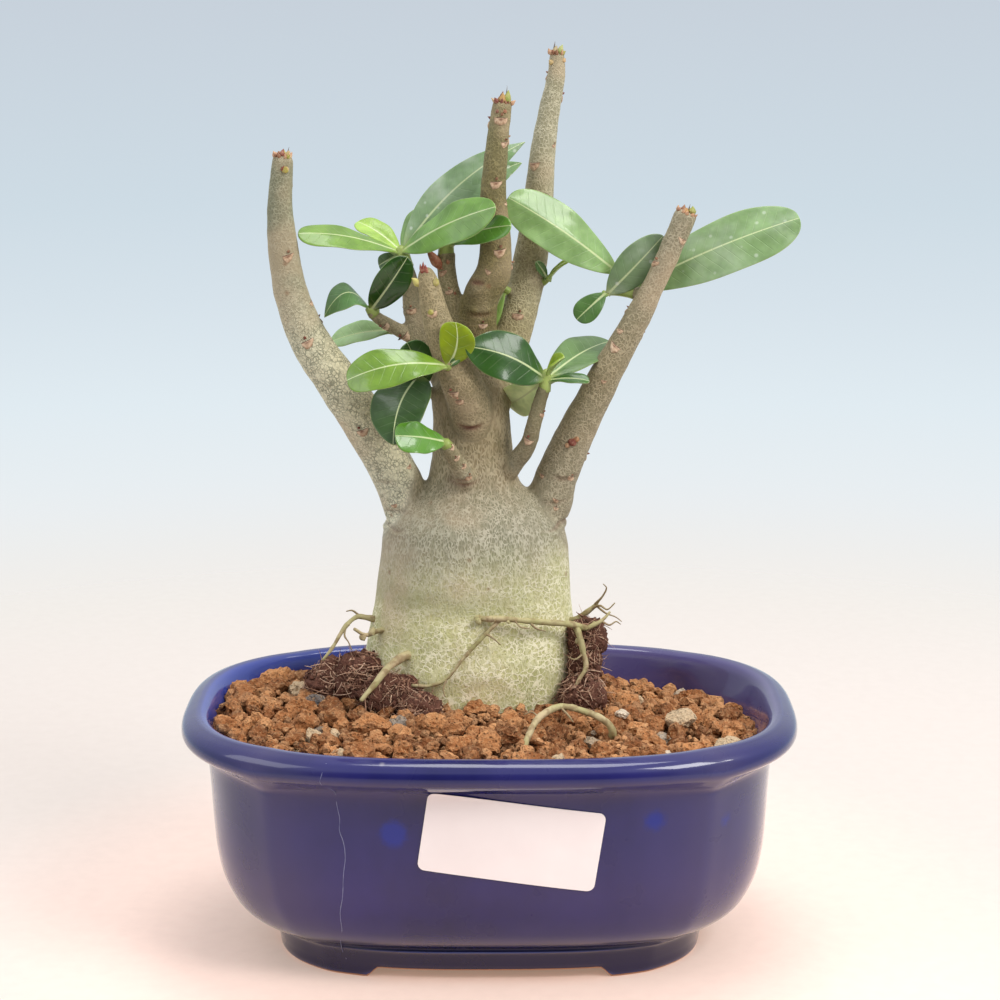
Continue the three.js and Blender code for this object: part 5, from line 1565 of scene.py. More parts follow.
# %% Bud scale
def pointed_scale(spot, heading, length, radius, seed):
    """One small pointed bud scale."""
    pick = random.Random(seed)
    heading = Vector(heading).normalized()
    side = heading.orthogonal().normalized()
    curl = side * pick.uniform(-0.25, 0.25) + heading.cross(side) * pick.uniform(-0.25, 0.25)
    line = []
    for share, size in ((-0.25, 0.55), (0.0, 0.9), (0.25, 1.0), (0.55, 0.72), (0.8, 0.36), (1.0, 0.08)):
        at = Vector(spot) + heading * length * share + curl * length * share * share
        line.append((*at, radius * size))
    return tube(line, 9, 2, rough=0.12, seed=seed, cap=0.2)


print("faces of a bud scale:", len(pointed_scale((0, 0, 0), (0, 0, 1), 1.0, 0.5, 0)[1]))

# %% [markdown]
# Scars climb each branch in a spiral, and often a tiny dead bud sits above one. The ones in front
# are set where they are seen: a place in thousandths of the picture's side, and a size. The rule
# of the spiral fills the sides and the back.

# %% Leaf scars
SEEN_SCARS = [
    (288, 256, 1), (311, 302, 0.7), (307, 342, 1.1), (362, 431, 1), (394, 505, 0.6), (409, 466, 0.6),
    (571, 477, 0.7), (452, 447, 0.55), (457, 458, 0.65), (464, 466, 0.6), (469, 477, 0.7), (501, 119, 1.1),
    (496, 183, 1), (500, 251, 1.1), (488, 271, 0.6), (483, 325, 0.8), (518, 315, 1), (505, 143, 0.8),
    (506, 203, 0.5), (534, 164, 1.1), (554, 145, 0.5), (615, 346, 1.1), (604, 381, 0.5), (620, 330, 0.7),
    (655, 262, 0.9), (683, 240, 0.8), (432, 313, 0.9), (453, 393, 1), (459, 401, 0.8), (384, 327, 0.9),
    (404, 337, 1), (528, 440, 0.9), (543, 414, 0.7), (411, 310, 0.9), (449, 291, 0.7), (442, 272, 0.8),
    (556, 500, 0.6), (542, 475, 0.6), (556, 508, 0.5),
]
SPIRAL_TURN = 2.4
SPIRAL_STEP = {"left": 8.6, "right": 8.2, "tall": 8.8, "middle": 7.4, "front": 8.5, "behind": 7.6}
BUD_COLORS = [
    (0.45, 0.25, 0.14), (0.16, 0.035, 0.02), (0.36, 0.33, 0.07), (0.24, 0.1, 0.05), (0.52, 0.36, 0.2),
]
scars, buds = Pile(), Pile()
seed = 0


def lay_scar(spot, normal, size, seed):
    return lay_pad(scars, spot, normal, 3.1 * size, 2.9 * size, 0.2, 0.42 * size, seed)


for across, down, size in SEEN_SCARS:
    spot, normal = bark_seen_at(across, down)
    if spot is None:
        print("no bark at", across, down)
        continue
    seed += 1
    up, normal, side = lay_scar(spot, normal, size, seed)
    pick = random.Random(seed)
    if pick.random() < 0.6:
        root = spot + up * 0.95 * size + side * pick.uniform(-0.3, 0.3)
        buds.add(*pointed_scale(root, up * 0.5 + normal, 0.85 * size, 0.34 * size, seed),
                 tint=BUD_COLORS[1] if pick.random() < 0.6 else BUD_COLORS[3])
for name, line in BRANCHES.items():
    fine = smooth_line(line, 24)
    run = np.concatenate([[0], np.cumsum(np.linalg.norm(np.diff(fine[:, :3], axis=0), axis=1))])
    _, one, two = frames_along(fine[:, :3])
    turn = 0.7
    first = (0.2 if name in ("left", "right") else 0.4) * run[-1]
    for reach in np.arange(first, run[-1] - 3, SPIRAL_STEP[name] / 2):
        turn += SPIRAL_TURN
        i = int(np.searchsorted(run, reach))
        out = Vector(one[i] * math.cos(turn) + two[i] * math.sin(turn))
        if out.y < 0.05:
            continue
        middle = Vector(fine[i, :3])
        spot, normal, _, _ = bark_tree.ray_cast(middle + out * 14, -out, 14)
        if spot is None or (spot - middle).length > fine[i, 3] * 1.5:
            continue
        seed += 1
        size = random.Random(seed).uniform(0.7, 1.05)
        up, normal, side = lay_scar(spot, normal, size, seed)
        buds.add(*pointed_scale(spot + up * 0.95 * size, up * 0.5 + normal, 0.8 * size, 0.3 * size, seed),
                 tint=BUD_COLORS[seed % 2 * 2 + 1])
print("scars:", seed)

# %% [markdown]
# The scar's corky pad is pinkish tan, darker where the bundles of the old leaf went in and along
# its upper edge, and it has a fine rough grain. Round its rim it is painted dark, as shade where the
# pad meets the bark.

# %% Scar finish
cork = Finish("scar_cork", Roughness=0.85)
place = cork.place()
pad_v, pad_r = cork.value("pad_v"), cork.value("pad_r")
grain = cork.noise(place, 1500.0, 3.0)
pad = cork.ramp(cork.plus(grain, cork.times(cork.value("dark"), -0.18)),
                (0.2, (0.34, 0.2, 0.115)), (0.5, (0.58, 0.41, 0.27)), (0.75, (0.72, 0.56, 0.41)))
upper_edge = cork.times(cork.span(pad_v, 0.1, 0.55), cork.span(pad_r, 0.3, 0.85))
pad = cork.mix(cork.times(upper_edge, 0.9), pad, rgb(0.07, 0.022, 0.012))
heart = cork.times(cork.fade(pad_r, 0.1, 0.6), cork.span(pad_v, -0.3, 0.05, 0.25, 0.85))
pad = cork.mix(heart, pad, rgb(0.13, 0.05, 0.025))
# Painted shade round the pad's rim, where it meets the bark.
pad = cork.mix(cork.span(pad_r, 0.82, 0.98, 0.0, 0.85), pad, rgb(0.12, 0.065, 0.035))
cork.wear(Base_Color=pad, Normal=cork.bump(grain, 0.5, 0.25))
scars.build("leaf_scars", cork.material, "grey_bark")
print("scar pads made")

# %% [markdown]
# Every cut tip ends in a crowd of small buds. A ring of blunt tan and reddish scales stands round
# the edge, with three more in the middle. The fatter buds and the thin dry spikes that are seen in
# front stand in a table: a shift across and toward the back, a length, a radius and a colour.

# %% Buds on the tips
TIPS = {"left": 12, "right": 11, "tall": 11, "middle": 12}
TIP_BUDS = {
    "left": [
        (-0.2, -0.9, 1.7, 0.75, (0.2, 0.04, 0.02)), (0.9, -0.8, 1.3, 0.55, (0.36, 0.26, 0.09)),
        (1, -0.6, 2.2, 0.16, (0.1, 0.06, 0.05)),
    ],
    "right": [
        (1, -0.9, 1.5, 0.95, (0.24, 0.26, 0.04)), (-0.5, -1.1, 1.3, 0.9, (0.4, 0.22, 0.07)),
        (0.1, -0.6, 2.1, 0.2, (0.1, 0.07, 0.07)),
    ],
    "tall": [
        (0.7, -0.8, 1.9, 0.75, (0.32, 0.36, 0.11)), (-0.5, -0.7, 1.6, 0.8, (0.3, 0.24, 0.12)),
        (-0.7, -0.6, 2.6, 0.28, (0.12, 0.1, 0.09)),
    ],
    "middle": [
        (0.8, -0.8, 2.7, 0.95, (0.25, 0.28, 0.05)), (-0.2, -1.1, 2.1, 0.95, (0.36, 0.2, 0.05)),
        (-0.5, -0.8, 2.5, 0.7, (0.13, 0.03, 0.018)), (0.5, -0.4, 3.7, 0.2, (0.12, 0.1, 0.09)),
    ],
}
for name, count in TIPS.items():
    line = np.array(BRANCHES[name][-2:])
    heading = Vector(line[1, :3] - line[0, :3]).normalized()
    end = Vector(line[1, :3]) + heading * line[1, 3] * 0.05
    radius = line[1, 3]
    one = heading.orthogonal().normalized()
    two = heading.cross(one)
    pick = random.Random(len(name) * 31)
    for k in range(count):
        turn = 2 * math.pi * (k + pick.uniform(-0.25, 0.25)) / count
        out = one * math.cos(turn) + two * math.sin(turn)
        spot = end + out * radius * pick.uniform(0.62, 0.86) - heading * 0.3
        buds.add(*pointed_scale(spot, heading + out * pick.uniform(0.3, 0.9), pick.uniform(0.8, 1.5),
                                pick.uniform(0.36, 0.6), k + len(name) * 50),
                 tint=BUD_COLORS[pick.choice((0, 0, 1, 2, 3, 4, 4))])
    for k, (across, toward, length, size, tint) in enumerate(TIP_BUDS[name]):
        buds.add(*pointed_scale(end + Vector((across, toward, 0)), heading + Vector((0.08 * across, 0, 0)),
                                length, size, k + len(name) * 90), tint=tint)
    for k in range(3):
        turn = 2.1 * k + pick.uniform(0, 1)
        out = one * math.cos(turn) + two * math.sin(turn)
        buds.add(*pointed_scale(end + out * radius * 0.35 + Vector((0, 0.7, 0)), heading + out * 0.3,
                                pick.uniform(1.0, 1.6), pick.uniform(0.5, 0.75), k + len(name) * 70),
                 tint=(BUD_COLORS[2], BUD_COLORS[3], BUD_COLORS[0])[k])
print("scales so far:", len(buds.points))

# %% [markdown]
# The same kind of scale makes the red tip of the front branch, its two yellow buds, and the small
# buds on the bark. They are set where they are seen, with a length, a radius and a colour. A dried
# brown bud stands beside the young shoot.

# %% Buds on the bark
SEEN_BUDS = [
    (285, 171, 1.5, 0.85, (0.38, 0.31, 0.06)), (283, 170, 1.2, 0.6, (0.2, 0.05, 0.02)),
    (418, 284, 2.2, 0.95, (0.47, 0.42, 0.11)), (436, 284, 2, 0.8, (0.42, 0.38, 0.1)),
    (424, 271, 2.4, 0.5, (0.22, 0.025, 0.018)), (422, 272, 2.2, 0.45, (0.18, 0.018, 0.012)),
    (427, 272, 2, 0.42, (0.24, 0.03, 0.02)), (287, 170, 1, 0.5, (0.5, 0.3, 0.16)),
    (551, 63, 1, 0.75, (0.42, 0.3, 0.12)), (564, 61, 0.9, 0.6, (0.5, 0.32, 0.15)),
    (431, 313, 1.1, 0.8, (0.3, 0.27, 0.05)), (497, 112, 0.8, 0.5, (0.16, 0.05, 0.03)),
    (505, 112, 0.8, 0.5, (0.3, 0.12, 0.06)), (572, 443, 1.5, 1.1, (0.17, 0.035, 0.02)),
    (576, 440, 1.2, 0.8, (0.33, 0.15, 0.06)), (567, 446, 1.2, 0.7, (0.42, 0.24, 0.13)),
    (448, 263, 1.2, 0.5, (0.3, 0.11, 0.05)), (455, 294, 0.9, 0.4, (0.22, 0.08, 0.04)),
]
for number, (across, down, length, radius, tint) in enumerate(SEEN_BUDS):
    spot, normal = bark_seen_at(across, down)
    if spot is None:
        print("no bark at", across, down)
        continue
    heading = growth_direction(spot) * 0.9 + normal * 0.7
    buds.add(*pointed_scale(spot - normal * 0.2, heading, length, radius, 700 + number), tint=tint)
DRIED_BUD = [
    (-11.2, 15.2, 161.6, 0.75), (-12.2, 14.6, 162.8, 1.25), (-13.2, 14, 164, 1.15),
    (-14.2, 13.4, 165.6, 0.6), (-14.5, 13.2, 166.9, 0.12),
]
buds.add(*tube(DRIED_BUD, 14, 5, rough=0.15, seed=4, cap=0.3), tint=(0.27, 0.085, 0.035))
scale_finish = Finish("bud_scales", Roughness=0.6)
place = scale_finish.place()
papery = scale_finish.noise(place, 1100.0, 3.0)
worn = scale_finish.span(papery, 0.4, 0.75, 0.0, 0.35)
scale_finish.wear(
    Base_Color=scale_finish.mix(worn, scale_finish.vector("tint"), rgb(0.6, 0.42, 0.26)),
    Normal=scale_finish.bump(papery, 0.4, 0.2),
)
buds.build("bud_scales", scale_finish.material, "grey_bark")
print("buds made")

# %% [markdown]
# Thin roots were left bare when the plant was lifted. One lies across the trunk's front, one hangs
# at its right side, a few loop out at left, and one arches over the grit in front. They are olive
# to tan, knotty, and carry short hairlike rootlets. Their lines are written like the limbs'.

# %% Root lines
ROOTS = {
    "across": [
        (-3.6, -4.4, 80.8, 0.7), (-1.3, -6.4, 80.9, 0.75), (3.2, -6.9, 81, 0.75), (9.8, -5.4, 80, 0.72),
        (18.6, -0.6, 78, 0.75), (23.4, 2.2, 76.2, 0.6),
    ],
    "slant": [
        (2.4, -6.2, 80.4, 0.5), (-0.8, -6.9, 77.4, 0.48), (-6.5, -7.4, 71, 0.42), (-10.2, -7.6, 66.4, 0.4),
        (-14.2, -6.9, 64.4, 0.42), (-18.6, -5.2, 64, 0.4),
    ],
    "arch": [
        (14, 3, 50, 1.3), (25, -8, 51, 1.2), (29, -15, 54.5, 1), (27.6, -17, 58.6, 0.85),
        (22.3, -16.6, 61.2, 0.85), (16.5, -17.6, 62.6, 0.8), (11.6, -22, 61.4, 0.8), (9, -27, 58.4, 0.75),
        (7.4, -30, 54.6, 0.6),
    ],
    "left_thick": [
        (-17, 0, 71, 1.1), (-21.5, -3.4, 70.2, 1.15), (-24.7, -6.4, 68.2, 0.95), (-27.5, -9.4, 65.3, 0.75),
        (-30.4, -12, 62.4, 0.5),
    ],
    "left_loop": [
        (-25.5, 10, 75.6, 0.8), (-29.8, 9, 76.8, 0.75), (-32.4, 8, 77.3, 0.6), (-34.8, 6, 75.8, 0.55),
        (-36.4, 5, 73.6, 0.5), (-38, 4, 70.9, 0.42), (-40.4, 3, 67.9, 0.35),
    ],
    "left_side": [(-22, 4, 75.6, 0.9), (-26.8, 4, 75, 0.65), (-29.9, 3, 74.2, 0.5), (-32.7, 2, 76, 0.4)],
    "right_side": [
        (16.5, 10, 76.4, 0.8), (20.6, 7.6, 76.8, 0.7), (24.6, 7, 79.6, 0.6), (26.4, 6, 81.8, 0.3),
    ],
    "right_fork": [(23.2, 1.6, 76.2, 0.6), (26.9, 2, 78, 0.45), (29.1, 4, 79.7, 0.25)],
    "right_hang": [
        (20.6, 1.4, 77.2, 0.7), (21.8, -0.4, 74.4, 0.75), (22.6, -0.6, 70.6, 0.7), (23.2, -1.2, 67.4, 0.6),
        (21.8, -2.2, 65, 0.5), (20.8, -2.6, 63.4, 0.4),
    ],
}
ROOTLETS = [
    [(24.6, 7, 79.6, 0.4), (26.6, 5, 81, 0.3), (28.4, 3, 80.6, 0.2), (30.2, 3, 82.2, 0.14)],
    [(25.6, 6.4, 81, 0.35), (27.2, 5, 83.2, 0.28), (28.2, 4.6, 85.4, 0.2), (27.4, 4.4, 86.6, 0.12)],
    [(26.2, 6, 80.4, 0.3), (28.2, 5.2, 79, 0.22), (30.4, 5, 78.2, 0.16), (32, 5, 77, 0.1)],
    [(26.9, 2, 78, 0.3), (28.8, 1.2, 77.2, 0.22), (30.4, 1.4, 78, 0.16), (31.6, 1.8, 77.2, 0.1)],
    [(-34.8, 6, 75.8, 0.3), (-35.2, 4.6, 73.6, 0.24), (-34.2, 3.6, 72.2, 0.18), (-33.4, 3, 70.4, 0.12)],
    [(-31.2, 8.4, 77, 0.3), (-33.4, 9, 78.6, 0.22), (-35, 9.2, 78.4, 0.14)],
    [(-0.8, -7, 77.4, 0.3), (1.2, -7.8, 76.2, 0.2), (2.6, -7.6, 74.8, 0.12)],
    [(9.8, -5.8, 79.6, 0.3), (11.2, -6.2, 78.4, 0.22), (13.4, -5.6, 77.6, 0.14)],
    [(6, -7, 80.6, 0.25), (7.4, -7.6, 79.2, 0.2), (9.6, -7.4, 78.8, 0.12)],
    [(16.5, -17.6, 62.6, 0.3), (18.2, -19.4, 61.4, 0.24), (19.6, -19.8, 59.6, 0.16)],
    [(11.6, -22, 61.4, 0.3), (10, -20.4, 62.2, 0.2), (8.2, -20.2, 61.6, 0.12)],
    [(-10.2, -7.6, 66.4, 0.3), (-11, -8.6, 64.2, 0.22), (-10.6, -9, 62.4, 0.14)],
    [(22.6, -0.6, 70.6, 0.3), (20.6, -2.2, 69.6, 0.2), (18.8, -2.8, 70.4, 0.12)],
]
KNOTS = [
    (1, -7.4, 81.2, 0.7), (4.4, -7.6, 80.4, 0.5), (22.4, 1.2, 76.6, 1), (21.2, 0.2, 73.6, 0.8),
    (25.4, 3.4, 76.8, 0.9), (-28.4, 3.4, 74.8, 1.3), (-30.6, 2.4, 73.8, 0.8), (-34.4, 6.2, 76, 0.6),
    (16.6, -17.8, 62.8, 0.7), (-2.6, -7, 80.6, 0.8),
]
print("roots:", len(ROOTS), "rootlets:", len(ROOTLETS))

# %% [markdown]
# A root is a tube whose thickness changes with soft noise. A rootlet is the same with fewer sides,
# and a knot is a small rough ball sunk into the root.

# %% Roots
roots = Pile()
for number, line in enumerate(list(ROOTS.values()) + ROOTLETS):
    fine = smooth_line(line, 8)
    fine[:, 3] *= [1 + 0.22 * noise.noise(Vector(p[:3]) * 0.6 + Vector((number, 0, 0))) for p in fine]
    sides, young = (14, 0.0) if number < len(ROOTS) else (7, 1.0)
    points, faces = tube(fine, sides, 1, rough=0.16, seed=number, cap=0.6)
    roots.add(points, faces, young=young)
for number, (x, y, z, radius) in enumerate(KNOTS):
    points, faces = rough_stone(2, radius, 320 + number, 0.8)
    roots.add(points + (x, y, z), faces, young=0.0)
root_skin = Finish("root_bark", Roughness=0.75)
place = root_skin.place()
grain = root_skin.noise(place, 520.0, 3.0)
patchy = root_skin.noise(place, 160.0, 2.0)
tone = root_skin.ramp(patchy, (0.3, (0.33, 0.3, 0.12)), (0.5, (0.42, 0.36, 0.18)), (0.7, (0.48, 0.36, 0.21)))
tone = root_skin.mix(root_skin.span(grain, 0.45, 0.65, 0.0, 0.65), tone, rgb(0.2, 0.12, 0.05))
tone = root_skin.mix(root_skin.times(root_skin.value("young"), 0.6), tone, rgb(0.24, 0.15, 0.085))
root_skin.wear(Base_Color=tone, Normal=root_skin.bump(grain, 0.6, 0.3))
piece = roots.build("bare_roots", root_skin.material, "grey_bark")
print("root faces:", len(piece.data.polygons))

# %% [markdown]
# A leaf is a thin closed blade: narrow at the foot, widest past its middle, rounded at the tip,
# folded a little along its midrib and bowed along its length. It could be a cut plane with a
# picture, but a modelled blade stays true from every side. Each leaf carries numbers for its
# finish: the way along and across the blade, its own colour, its gloss, and its dust.


# %% Leaf shape
def leaf_blade(foot, tip, width, face, fold=0.22, arch=0.07, widest=0.66, sway=0.0, twist=0.0, wavy=0.05,
               plump=0.86, seed=0):
    """Points, faces, and for each point: way along, way across, share of length, share of width."""
    start, end = Vector(foot), Vector(tip)
    length = (end - start).length
    along = (end - start).normalized()
    up = Vector(face)
    up = (up - along * up.dot(along)).normalized()
    side = along.cross(up)
    steps, columns = 38, 14
    fall = (1 - widest) / widest
    most = widest * (1 - widest) ** fall
    phase = random.Random(seed).uniform(0, 6.28)
    shells = {1: [], -1: []}
    info = []
    for step in range(steps + 1):
        t = 0.5 - 0.5 * math.cos(math.pi * step / steps)
        shape = (t * (1 - t) ** fall / most) ** plump if 0 < t < 1 else 0.0
        petiole = 0.62 * max(0.0, 1 - t * 5) + 0.5 * max(0.0, 1 - abs(t - 0.06) * 9)
        half = max(shape * width / 2, petiole, 0.12 if 0 < t < 1 else 0.06)
        bow = arch * length * 4 * t * (1 - t)
        centre = start + along * t * length + up * bow + side * sway * length * 4 * t * (1 - t)
        roll = twist * (t - 0.35)
        across = side * math.cos(roll) + up * math.sin(roll)
        upward = up * math.cos(roll) - side * math.sin(roll)
        stem = max(0.0, 1 - t * 6)
        for column in range(columns + 1):
            j = -math.cos(math.pi * column / columns)
            ripple = wavy * half * j * j * math.sin(t * 13 + phase + (1.3 if j > 0 else 0))
            lift = fold * half * (1 - (1 - abs(j)) ** 2) * 0.8 * (1 - stem) + ripple
            groove = 0.16 * math.exp(-((j * half / 0.4) ** 2)) * (1 - t)
            round_off = math.sqrt(max(0.0, 1 - j * j))
            keel = 0.5 * math.exp(-((j * half / 0.6) ** 2)) * (1 - t) ** 0.6 + stem * 0.5 * round_off
            edge = 0.06 + 0.17 * math.sqrt(max(0.0, 1 - j ** 6))
            spot = centre + across * half * j + upward * lift
            shells[1].append(tuple(spot + upward * (edge - groove + stem * 0.3 * round_off)))
            shells[-1].append(tuple(spot - upward * (edge + keel)))
            info.append((t * length, half * j, t, abs(j)))
    info = np.array(info)
    return shells[1] + shells[-1], sheet_faces(steps, columns), np.vstack([info, info]), len(info)


print("points of a blade:", len(leaf_blade((0, 0, 0), (0, 0, 9), 3, (0, -1, 0))[0]))

# %% [markdown]
# Leaves sit in small rosettes, each on its own short green shoot. Colour tells their age: new ones
# are yellow-green and glossy, old ones dull and dark, and some behind are dusty. Each leaf has its
# foot, tip, width, the way it faces, its colour and its gloss. Dust and turns of shape may follow.

# %% Leaf table
TOWARD, UPWARD = (0, -1, 0.35), (0, -0.45, 1)


def leaf_of(foot, tip, width, face, tone, shine, dust=0.0, **turns):
    """One leaf of the table: how its blade is shaped, and how it looks."""
    return dict(foot=foot, tip=tip, width=width, face=face, **turns), dict(tone=tone, shine=shine, dust=dust)


ROSETTES = {
    "rosette_left_top": ([(-20, 17, 161.6, 1.9), (-20.9, 16.8, 165, 1.7), (-21.2, 16.6, 166.4, 1.1)], [
        leaf_of((-21.4, 16.6, 165), (-45.1, 10, 170.4), 9.4, UPWARD, (0.135, 0.25, 0.028), 0.7, fold=-0.12,
                twist=0.25),
        leaf_of((-21.2, 17.4, 165.2), (-31.9, 24, 171.6), 7.2, UPWARD, (0.3, 0.46, 0.08), 0.5),
        leaf_of((-20.8, 16, 165.4), (1.4, 1.5, 177.6), 10.6, (0.1, -1, 0.8), (0.135, 0.27, 0.05), 0.7,
                widest=0.6, fold=-0.2, twist=-0.3, plump=0.75, wavy=0.09),
        leaf_of((-20.8, 17.4, 165.4), (-11, 22, 174.2), 11, (-0.5, -1, 0.6), (0.13, 0.24, 0.06), 0.3,
                dust=0.2, plump=0.7),
        leaf_of((-21.4, 17.4, 164.6), (-26.6, 22, 161.4), 4, TOWARD, (0.06, 0.13, 0.03), 0.3),
        leaf_of((-20.4, 17.6, 165.6), (8.4, 19, 191.2), 10.4, (-0.3, -1, 0.4), (0.15, 0.26, 0.11), 0.15,
                dust=1, sway=-0.05, widest=0.42, fold=-0.15, plump=0.7),
    ]),
    "rosette_left_side": ([(-27.6, 14.4, 150.8, 1.6), (-28.8, 13.6, 152.4, 1.1)], [
        leaf_of((-28.4, 13.4, 152), (-19.4, 9.6, 165), 8.2, (0.35, -1, 0.2), (0.018, 0.06, 0.006), 1,
                widest=0.6, plump=0.7),
        leaf_of((-28.8, 13.6, 152), (-39.2, 9.6, 150.8), 11, UPWARD, (0.07, 0.155, 0.045), 0.35, arch=0.5,
                widest=0.5, fold=-0.1),
    ]),
    "rosette_middle": ([(-10.4, 16, 164.6, 2), (-10.2, 16, 168.6, 1.6), (-10.1, 16, 169.6, 0.9)], [
        leaf_of((-9.8, 15.6, 168), (7.6, 15.6, 186.6), 9.5, (-0.4, -1, 0.6), (0.13, 0.235, 0.09), 0.15,
                dust=0.7, sway=-0.12, widest=0.5),
        leaf_of((-9.4, 15.2, 167.4), (5, 2.4, 173.2), 7, (0, -1, 0.8), (0.09, 0.22, 0.03), 0.7, fold=-0.1,
                twist=-0.4),
    ]),
    "rosette_front": ([(-8.8, 2.6, 139.6, 1.3), (-9.8, 0.4, 140.5, 1.1)], [
        leaf_of((-10, 0.6, 140.4), (-33.2, -4, 137.8), 10.4, (0.1, -0.9, 0.9), (0.135, 0.245, 0.021), 1,
                fold=-0.12, twist=0.3, wavy=0.08, arch=0.15, plump=0.75),
        leaf_of((-9.8, 0.6, 140.6), (-7.8, -0.8, 151), 8.6, TOWARD, (0.19, 0.255, 0.003), 0.3, fold=0.16,
                sway=0.12, plump=0.72),
        leaf_of((-9.6, 0.6, 140.4), (-6.8, -0.6, 142.6), 1.8, TOWARD, (0.05, 0.12, 0.02), 0.5),
    ]),
    "rosette_right_low": ([(13, 5, 133.8, 1.55), (13.4, 4.8, 137.4, 1.3), (13.6, 4.6, 138.8, 0.8)], [
        leaf_of((13.2, 4.6, 136.6), (-5.6, -1.4, 145.4), 12, (0.2, -1, 0.5), (0.022, 0.075, 0.008), 0.7,
                sway=0.06, widest=0.52, fold=-0.16, twist=0.35, wavy=0.1, plump=0.75),
        leaf_of((14, 5.2, 136.8), (29.4, 24, 142.4), 11.5, (-0.3, -0.9, 0.8), (0.105, 0.19, 0.06), 0.4,
                widest=0.6, plump=0.75, fold=0.1),
        leaf_of((13.6, 4.6, 137.4), (17.6, 1.6, 142.4), 5.2, UPWARD, (0.23, 0.33, 0.025), 0.4, fold=0.5),
        leaf_of((14, 4.6, 136.2), (23.5, 1.4, 136.6), 4.4, UPWARD, (0.04, 0.11, 0.015), 0.8),
        # This leaf sits in shade behind the twig: its tone is its own pale colour, raised further as painted
        # light.
        leaf_of((13.2, 5.6, 136.4), (4.4, 20, 127.8), 9.5, (0.35, -1, 0.3), (0.72, 0.84, 0.46), 0.1,
                plump=0.7),
    ]),
    "rosette_left_back": ([(-15.4, 12.4, 133.2, 1.3), (-16.6, 11.6, 134.8, 0.9)], [
        leaf_of((-16.8, 11, 136.2), (-22.4, -7, 123.2), 13.8, (-0.15, -0.8, 1), (0.034, 0.078, 0.02), 0.35,
                fold=0.1, widest=0.5, plump=0.6, sway=0.06),
        leaf_of((-15.4, 12.8, 133.4), (-19.6, 8, 144.8), 8.6, (0.3, -1, 0.2), (0.03, 0.09, 0.015), 0.5,
                plump=0.7),
    ]),
    "leaf_front_low": ([(-9.6, -1.2, 120.8, 1.7), (-10.4, -2.8, 123, 1.2)], [
        leaf_of((-10.2, -2.4, 122.8), (-21.8, -9, 125.6), 8.4, (0, -1, 0.75), (0.08, 0.21, 0.02), 0.9,
                fold=-0.14, wavy=0.1, plump=0.75),
    ]),
    "leaf_left_low": ([(-22, 18.4, 146.4, 1), (-24, 19, 145.8, 0.8)], [
        leaf_of((-23.4, 18.8, 146), (-39, 22.5, 142.4), 7.8, (0, -0.7, 1), (0.31, 0.46, 0.23), 0.3,
                widest=0.58),
    ]),
    "leaf_behind": ([(4.6, 19.8, 155.4, 1), (3.4, 19.4, 156.4, 0.8)], [
        leaf_of((3.8, 19.6, 156), (-3, 22.6, 142.6), 5.4, TOWARD, (0.32, 0.5, 0.14), 0.2),
    ]),
    "rosette_right_back": ([(34.6, 16.4, 155.6, 1.6), (32.4, 16.8, 155.8, 1.3), (30, 17, 155.8, 1),
                            (28.2, 16.8, 155.6, 0.8)], [
        leaf_of((30.6, 19.2, 160), (4.4, 13.6, 178.6), 12.2, (0.15, -1, 0.5), (0.215, 0.345, 0.13), 0.7,
                widest=0.62, fold=-0.22, twist=0.3, plump=0.7, wavy=0.06),
        leaf_of((28.2, 16.6, 155.2), (41.2, 13.6, 169.6), 9, (0.3, -1, 0.3), (0.125, 0.21, 0.09), 0.6,
                fold=-0.1, dust=0.8, widest=0.55, plump=0.75),
        leaf_of((28, 16.6, 155.6), (20.9, 15.4, 149.2), 6, TOWARD, (0.08, 0.17, 0.045), 0.5, fold=0.12),
        leaf_of((34, 19.2, 156), (73.4, 13, 173.8), 14.4, (-0.1, -1, 0.6), (0.17, 0.28, 0.11), 0.3, dust=0.6,
                widest=0.62, fold=-0.2, plump=0.7),
    ]),
    "shoot_tall": ([(12.8, 21.8, 157.6, 1.2), (14.2, 20.8, 158.6, 0.8)], [
        leaf_of((14, 20.8, 158.4), (19, 17.8, 163), 2.6, UPWARD, (0.28, 0.4, 0.06), 0.5),
        leaf_of((13.8, 20.8, 158.4), (11.2, 18, 162.8), 2.4, (0.5, -1, 0), (0.08, 0.17, 0.045), 0.4),
    ]),
}
print("rosettes:", len(ROSETTES))

# %% [markdown]
# Each rosette becomes one piece that stands for its solid: the shoot, which is a short tube, and
# the blades on it. All share one finish and differ by the numbers that they carry.

# %% Leaves
leaf = Finish("green_leaf", Roughness=0.45, Specular_IOR_Level=0.3, Coat_Roughness=0.12,
              Subsurface_Weight=0.12, Subsurface_Radius=(0.5, 1.0, 0.2), Subsurface_Scale=0.0008)
leaf_count = 0
for node_name, (shoot, leaves) in ROSETTES.items():
    pile = Pile()
    pile.add(*tube(shoot, 18, 5, rough=0.05, seed=3, cap=0.6), blade=(0.0, 9.0, 0.5), edge=0.4, under=0.0,
             tone=(0.27, 0.34, 0.09), shine=0.3, dust=0.0)
    for shape, look in leaves:
        points, faces, info, count = leaf_blade(seed=leaf_count, **shape)
        under = np.concatenate([np.zeros(count), np.ones(count)])
        pile.add(points, faces, blade=info[:, :3], edge=info[:, 3], under=under, **look)
        leaf_count += 1
    pile.build(node_name + "_leaves", leaf.material, "green_leaf", [node_name])
print("leaves:", leaf_count)

# %% [markdown]
# The leaf's colour comes from its own tone. A pale cream midrib runs up the middle and thins
# towards the tip, faint side veins leave it at a slant, the margin is a fine light line, and the
# underside is paler and dull. Dust lies as a haze with small white specks.

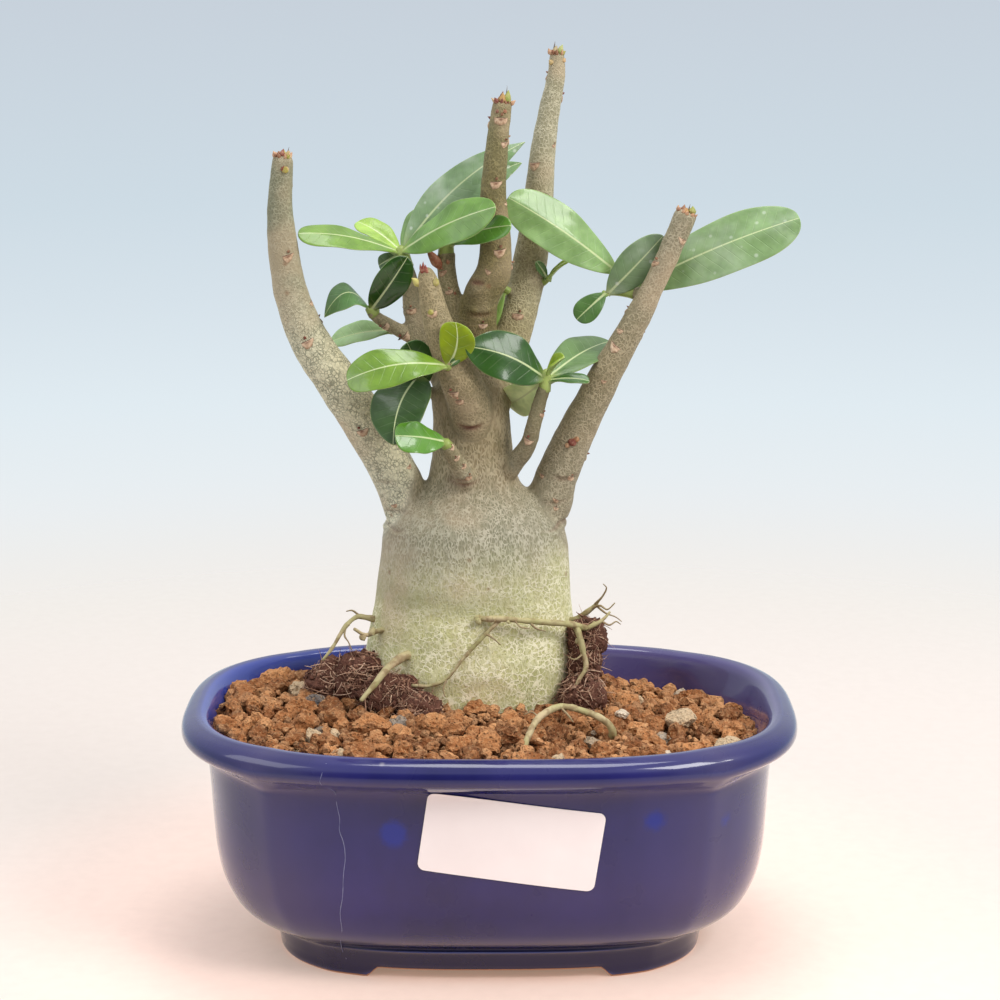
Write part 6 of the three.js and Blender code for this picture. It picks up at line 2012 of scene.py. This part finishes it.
# %% Leaf finish
place = leaf.place()
blade = leaf.node("ShaderNodeSeparateXYZ", {"Vector": leaf.vector("blade")})
way, across, share = blade.outputs["X"], leaf.math("ABSOLUTE", blade.outputs["Y"]), blade.outputs["Z"]
edge, under = leaf.value("edge"), leaf.value("under")
shine, dust = leaf.value("shine"), leaf.value("dust")
tone = leaf.vector("tone")
blotch = leaf.noise(place, 190.0, 3.0)
fine = leaf.noise(place, 1400.0, 3.0)
rib_reach = leaf.plus(leaf.times(leaf.less(1.0, share), 0.28), 0.09)
rib = leaf.fade(leaf.math("DIVIDE", across, rib_reach), 0.5, 1.15)
slant = leaf.less(way, leaf.times(across, 0.62))
slant = leaf.plus(leaf.math("DIVIDE", slant, 2.5), leaf.times(blotch, 0.35))
off_vein = leaf.math("ABSOLUTE", leaf.less(leaf.math("FRACT", slant), 0.5))
vein = leaf.times(leaf.span(off_vein, 0.43, 0.5), leaf.fade(edge, 0.55, 0.95))
darker = leaf.mix(1.0, tone, rgb(0.78, 0.81, 0.68), "MULTIPLY")
lighter = leaf.mix(1.0, tone, rgb(1.2, 1.16, 1.12), "MULTIPLY")
body = leaf.mix(leaf.span(blotch, 0.3, 0.7), darker, lighter)
body = leaf.mix(leaf.times(vein, 0.08), body, rgb(0.45, 0.55, 0.28))
body = leaf.mix(leaf.times(leaf.span(edge, 0.965, 0.995), 0.3), body, rgb(0.42, 0.48, 0.18))
body = leaf.mix(leaf.times(rib, 0.75), body, rgb(0.58, 0.64, 0.34))
foot = leaf.times(leaf.fade(share, 0.0, 0.14), 0.6)
body = leaf.mix(foot, body, rgb(0.4, 0.47, 0.14))
body = leaf.mix(leaf.times(under, 0.5), body, rgb(0.28, 0.36, 0.17))
specks = leaf.cells(place, 330.0)
speck = leaf.times(leaf.fade(specks.outputs["Distance"], 0.08, 0.24), leaf.span(dust, 0.2, 0.9))
haze = leaf.times(leaf.span(leaf.noise(place, 110.0, 4.0), 0.4, 0.75, 0.05, 0.4), dust)
body = leaf.mix(leaf.larger(leaf.times(speck, 0.55), haze), body, rgb(0.66, 0.7, 0.62))
dullness = leaf.span(shine, 0.0, 1.0, 0.58, 0.26, smooth=False)
relief = leaf.plus(leaf.times(vein, 0.45), leaf.times(blotch, 1.3))
leaf.wear(
    Base_Color=body,
    Roughness=leaf.plus(dullness, leaf.times(under, 0.2)),
    Coat_Weight=leaf.times(shine, leaf.less(0.5, leaf.times(under, 0.4))),
    Normal=leaf.bump(fine, 0.08, 0.2, leaf.bump(relief, 0.45, -0.28)),
)
print("leaf finish ready")

# %% [markdown]
# Last, the visual model's own box is measured and printed.

# %% Finish
low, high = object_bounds()
print("visual box in mm:", [round((b - a) / MM, 1) for a, b in zip(low, high)])
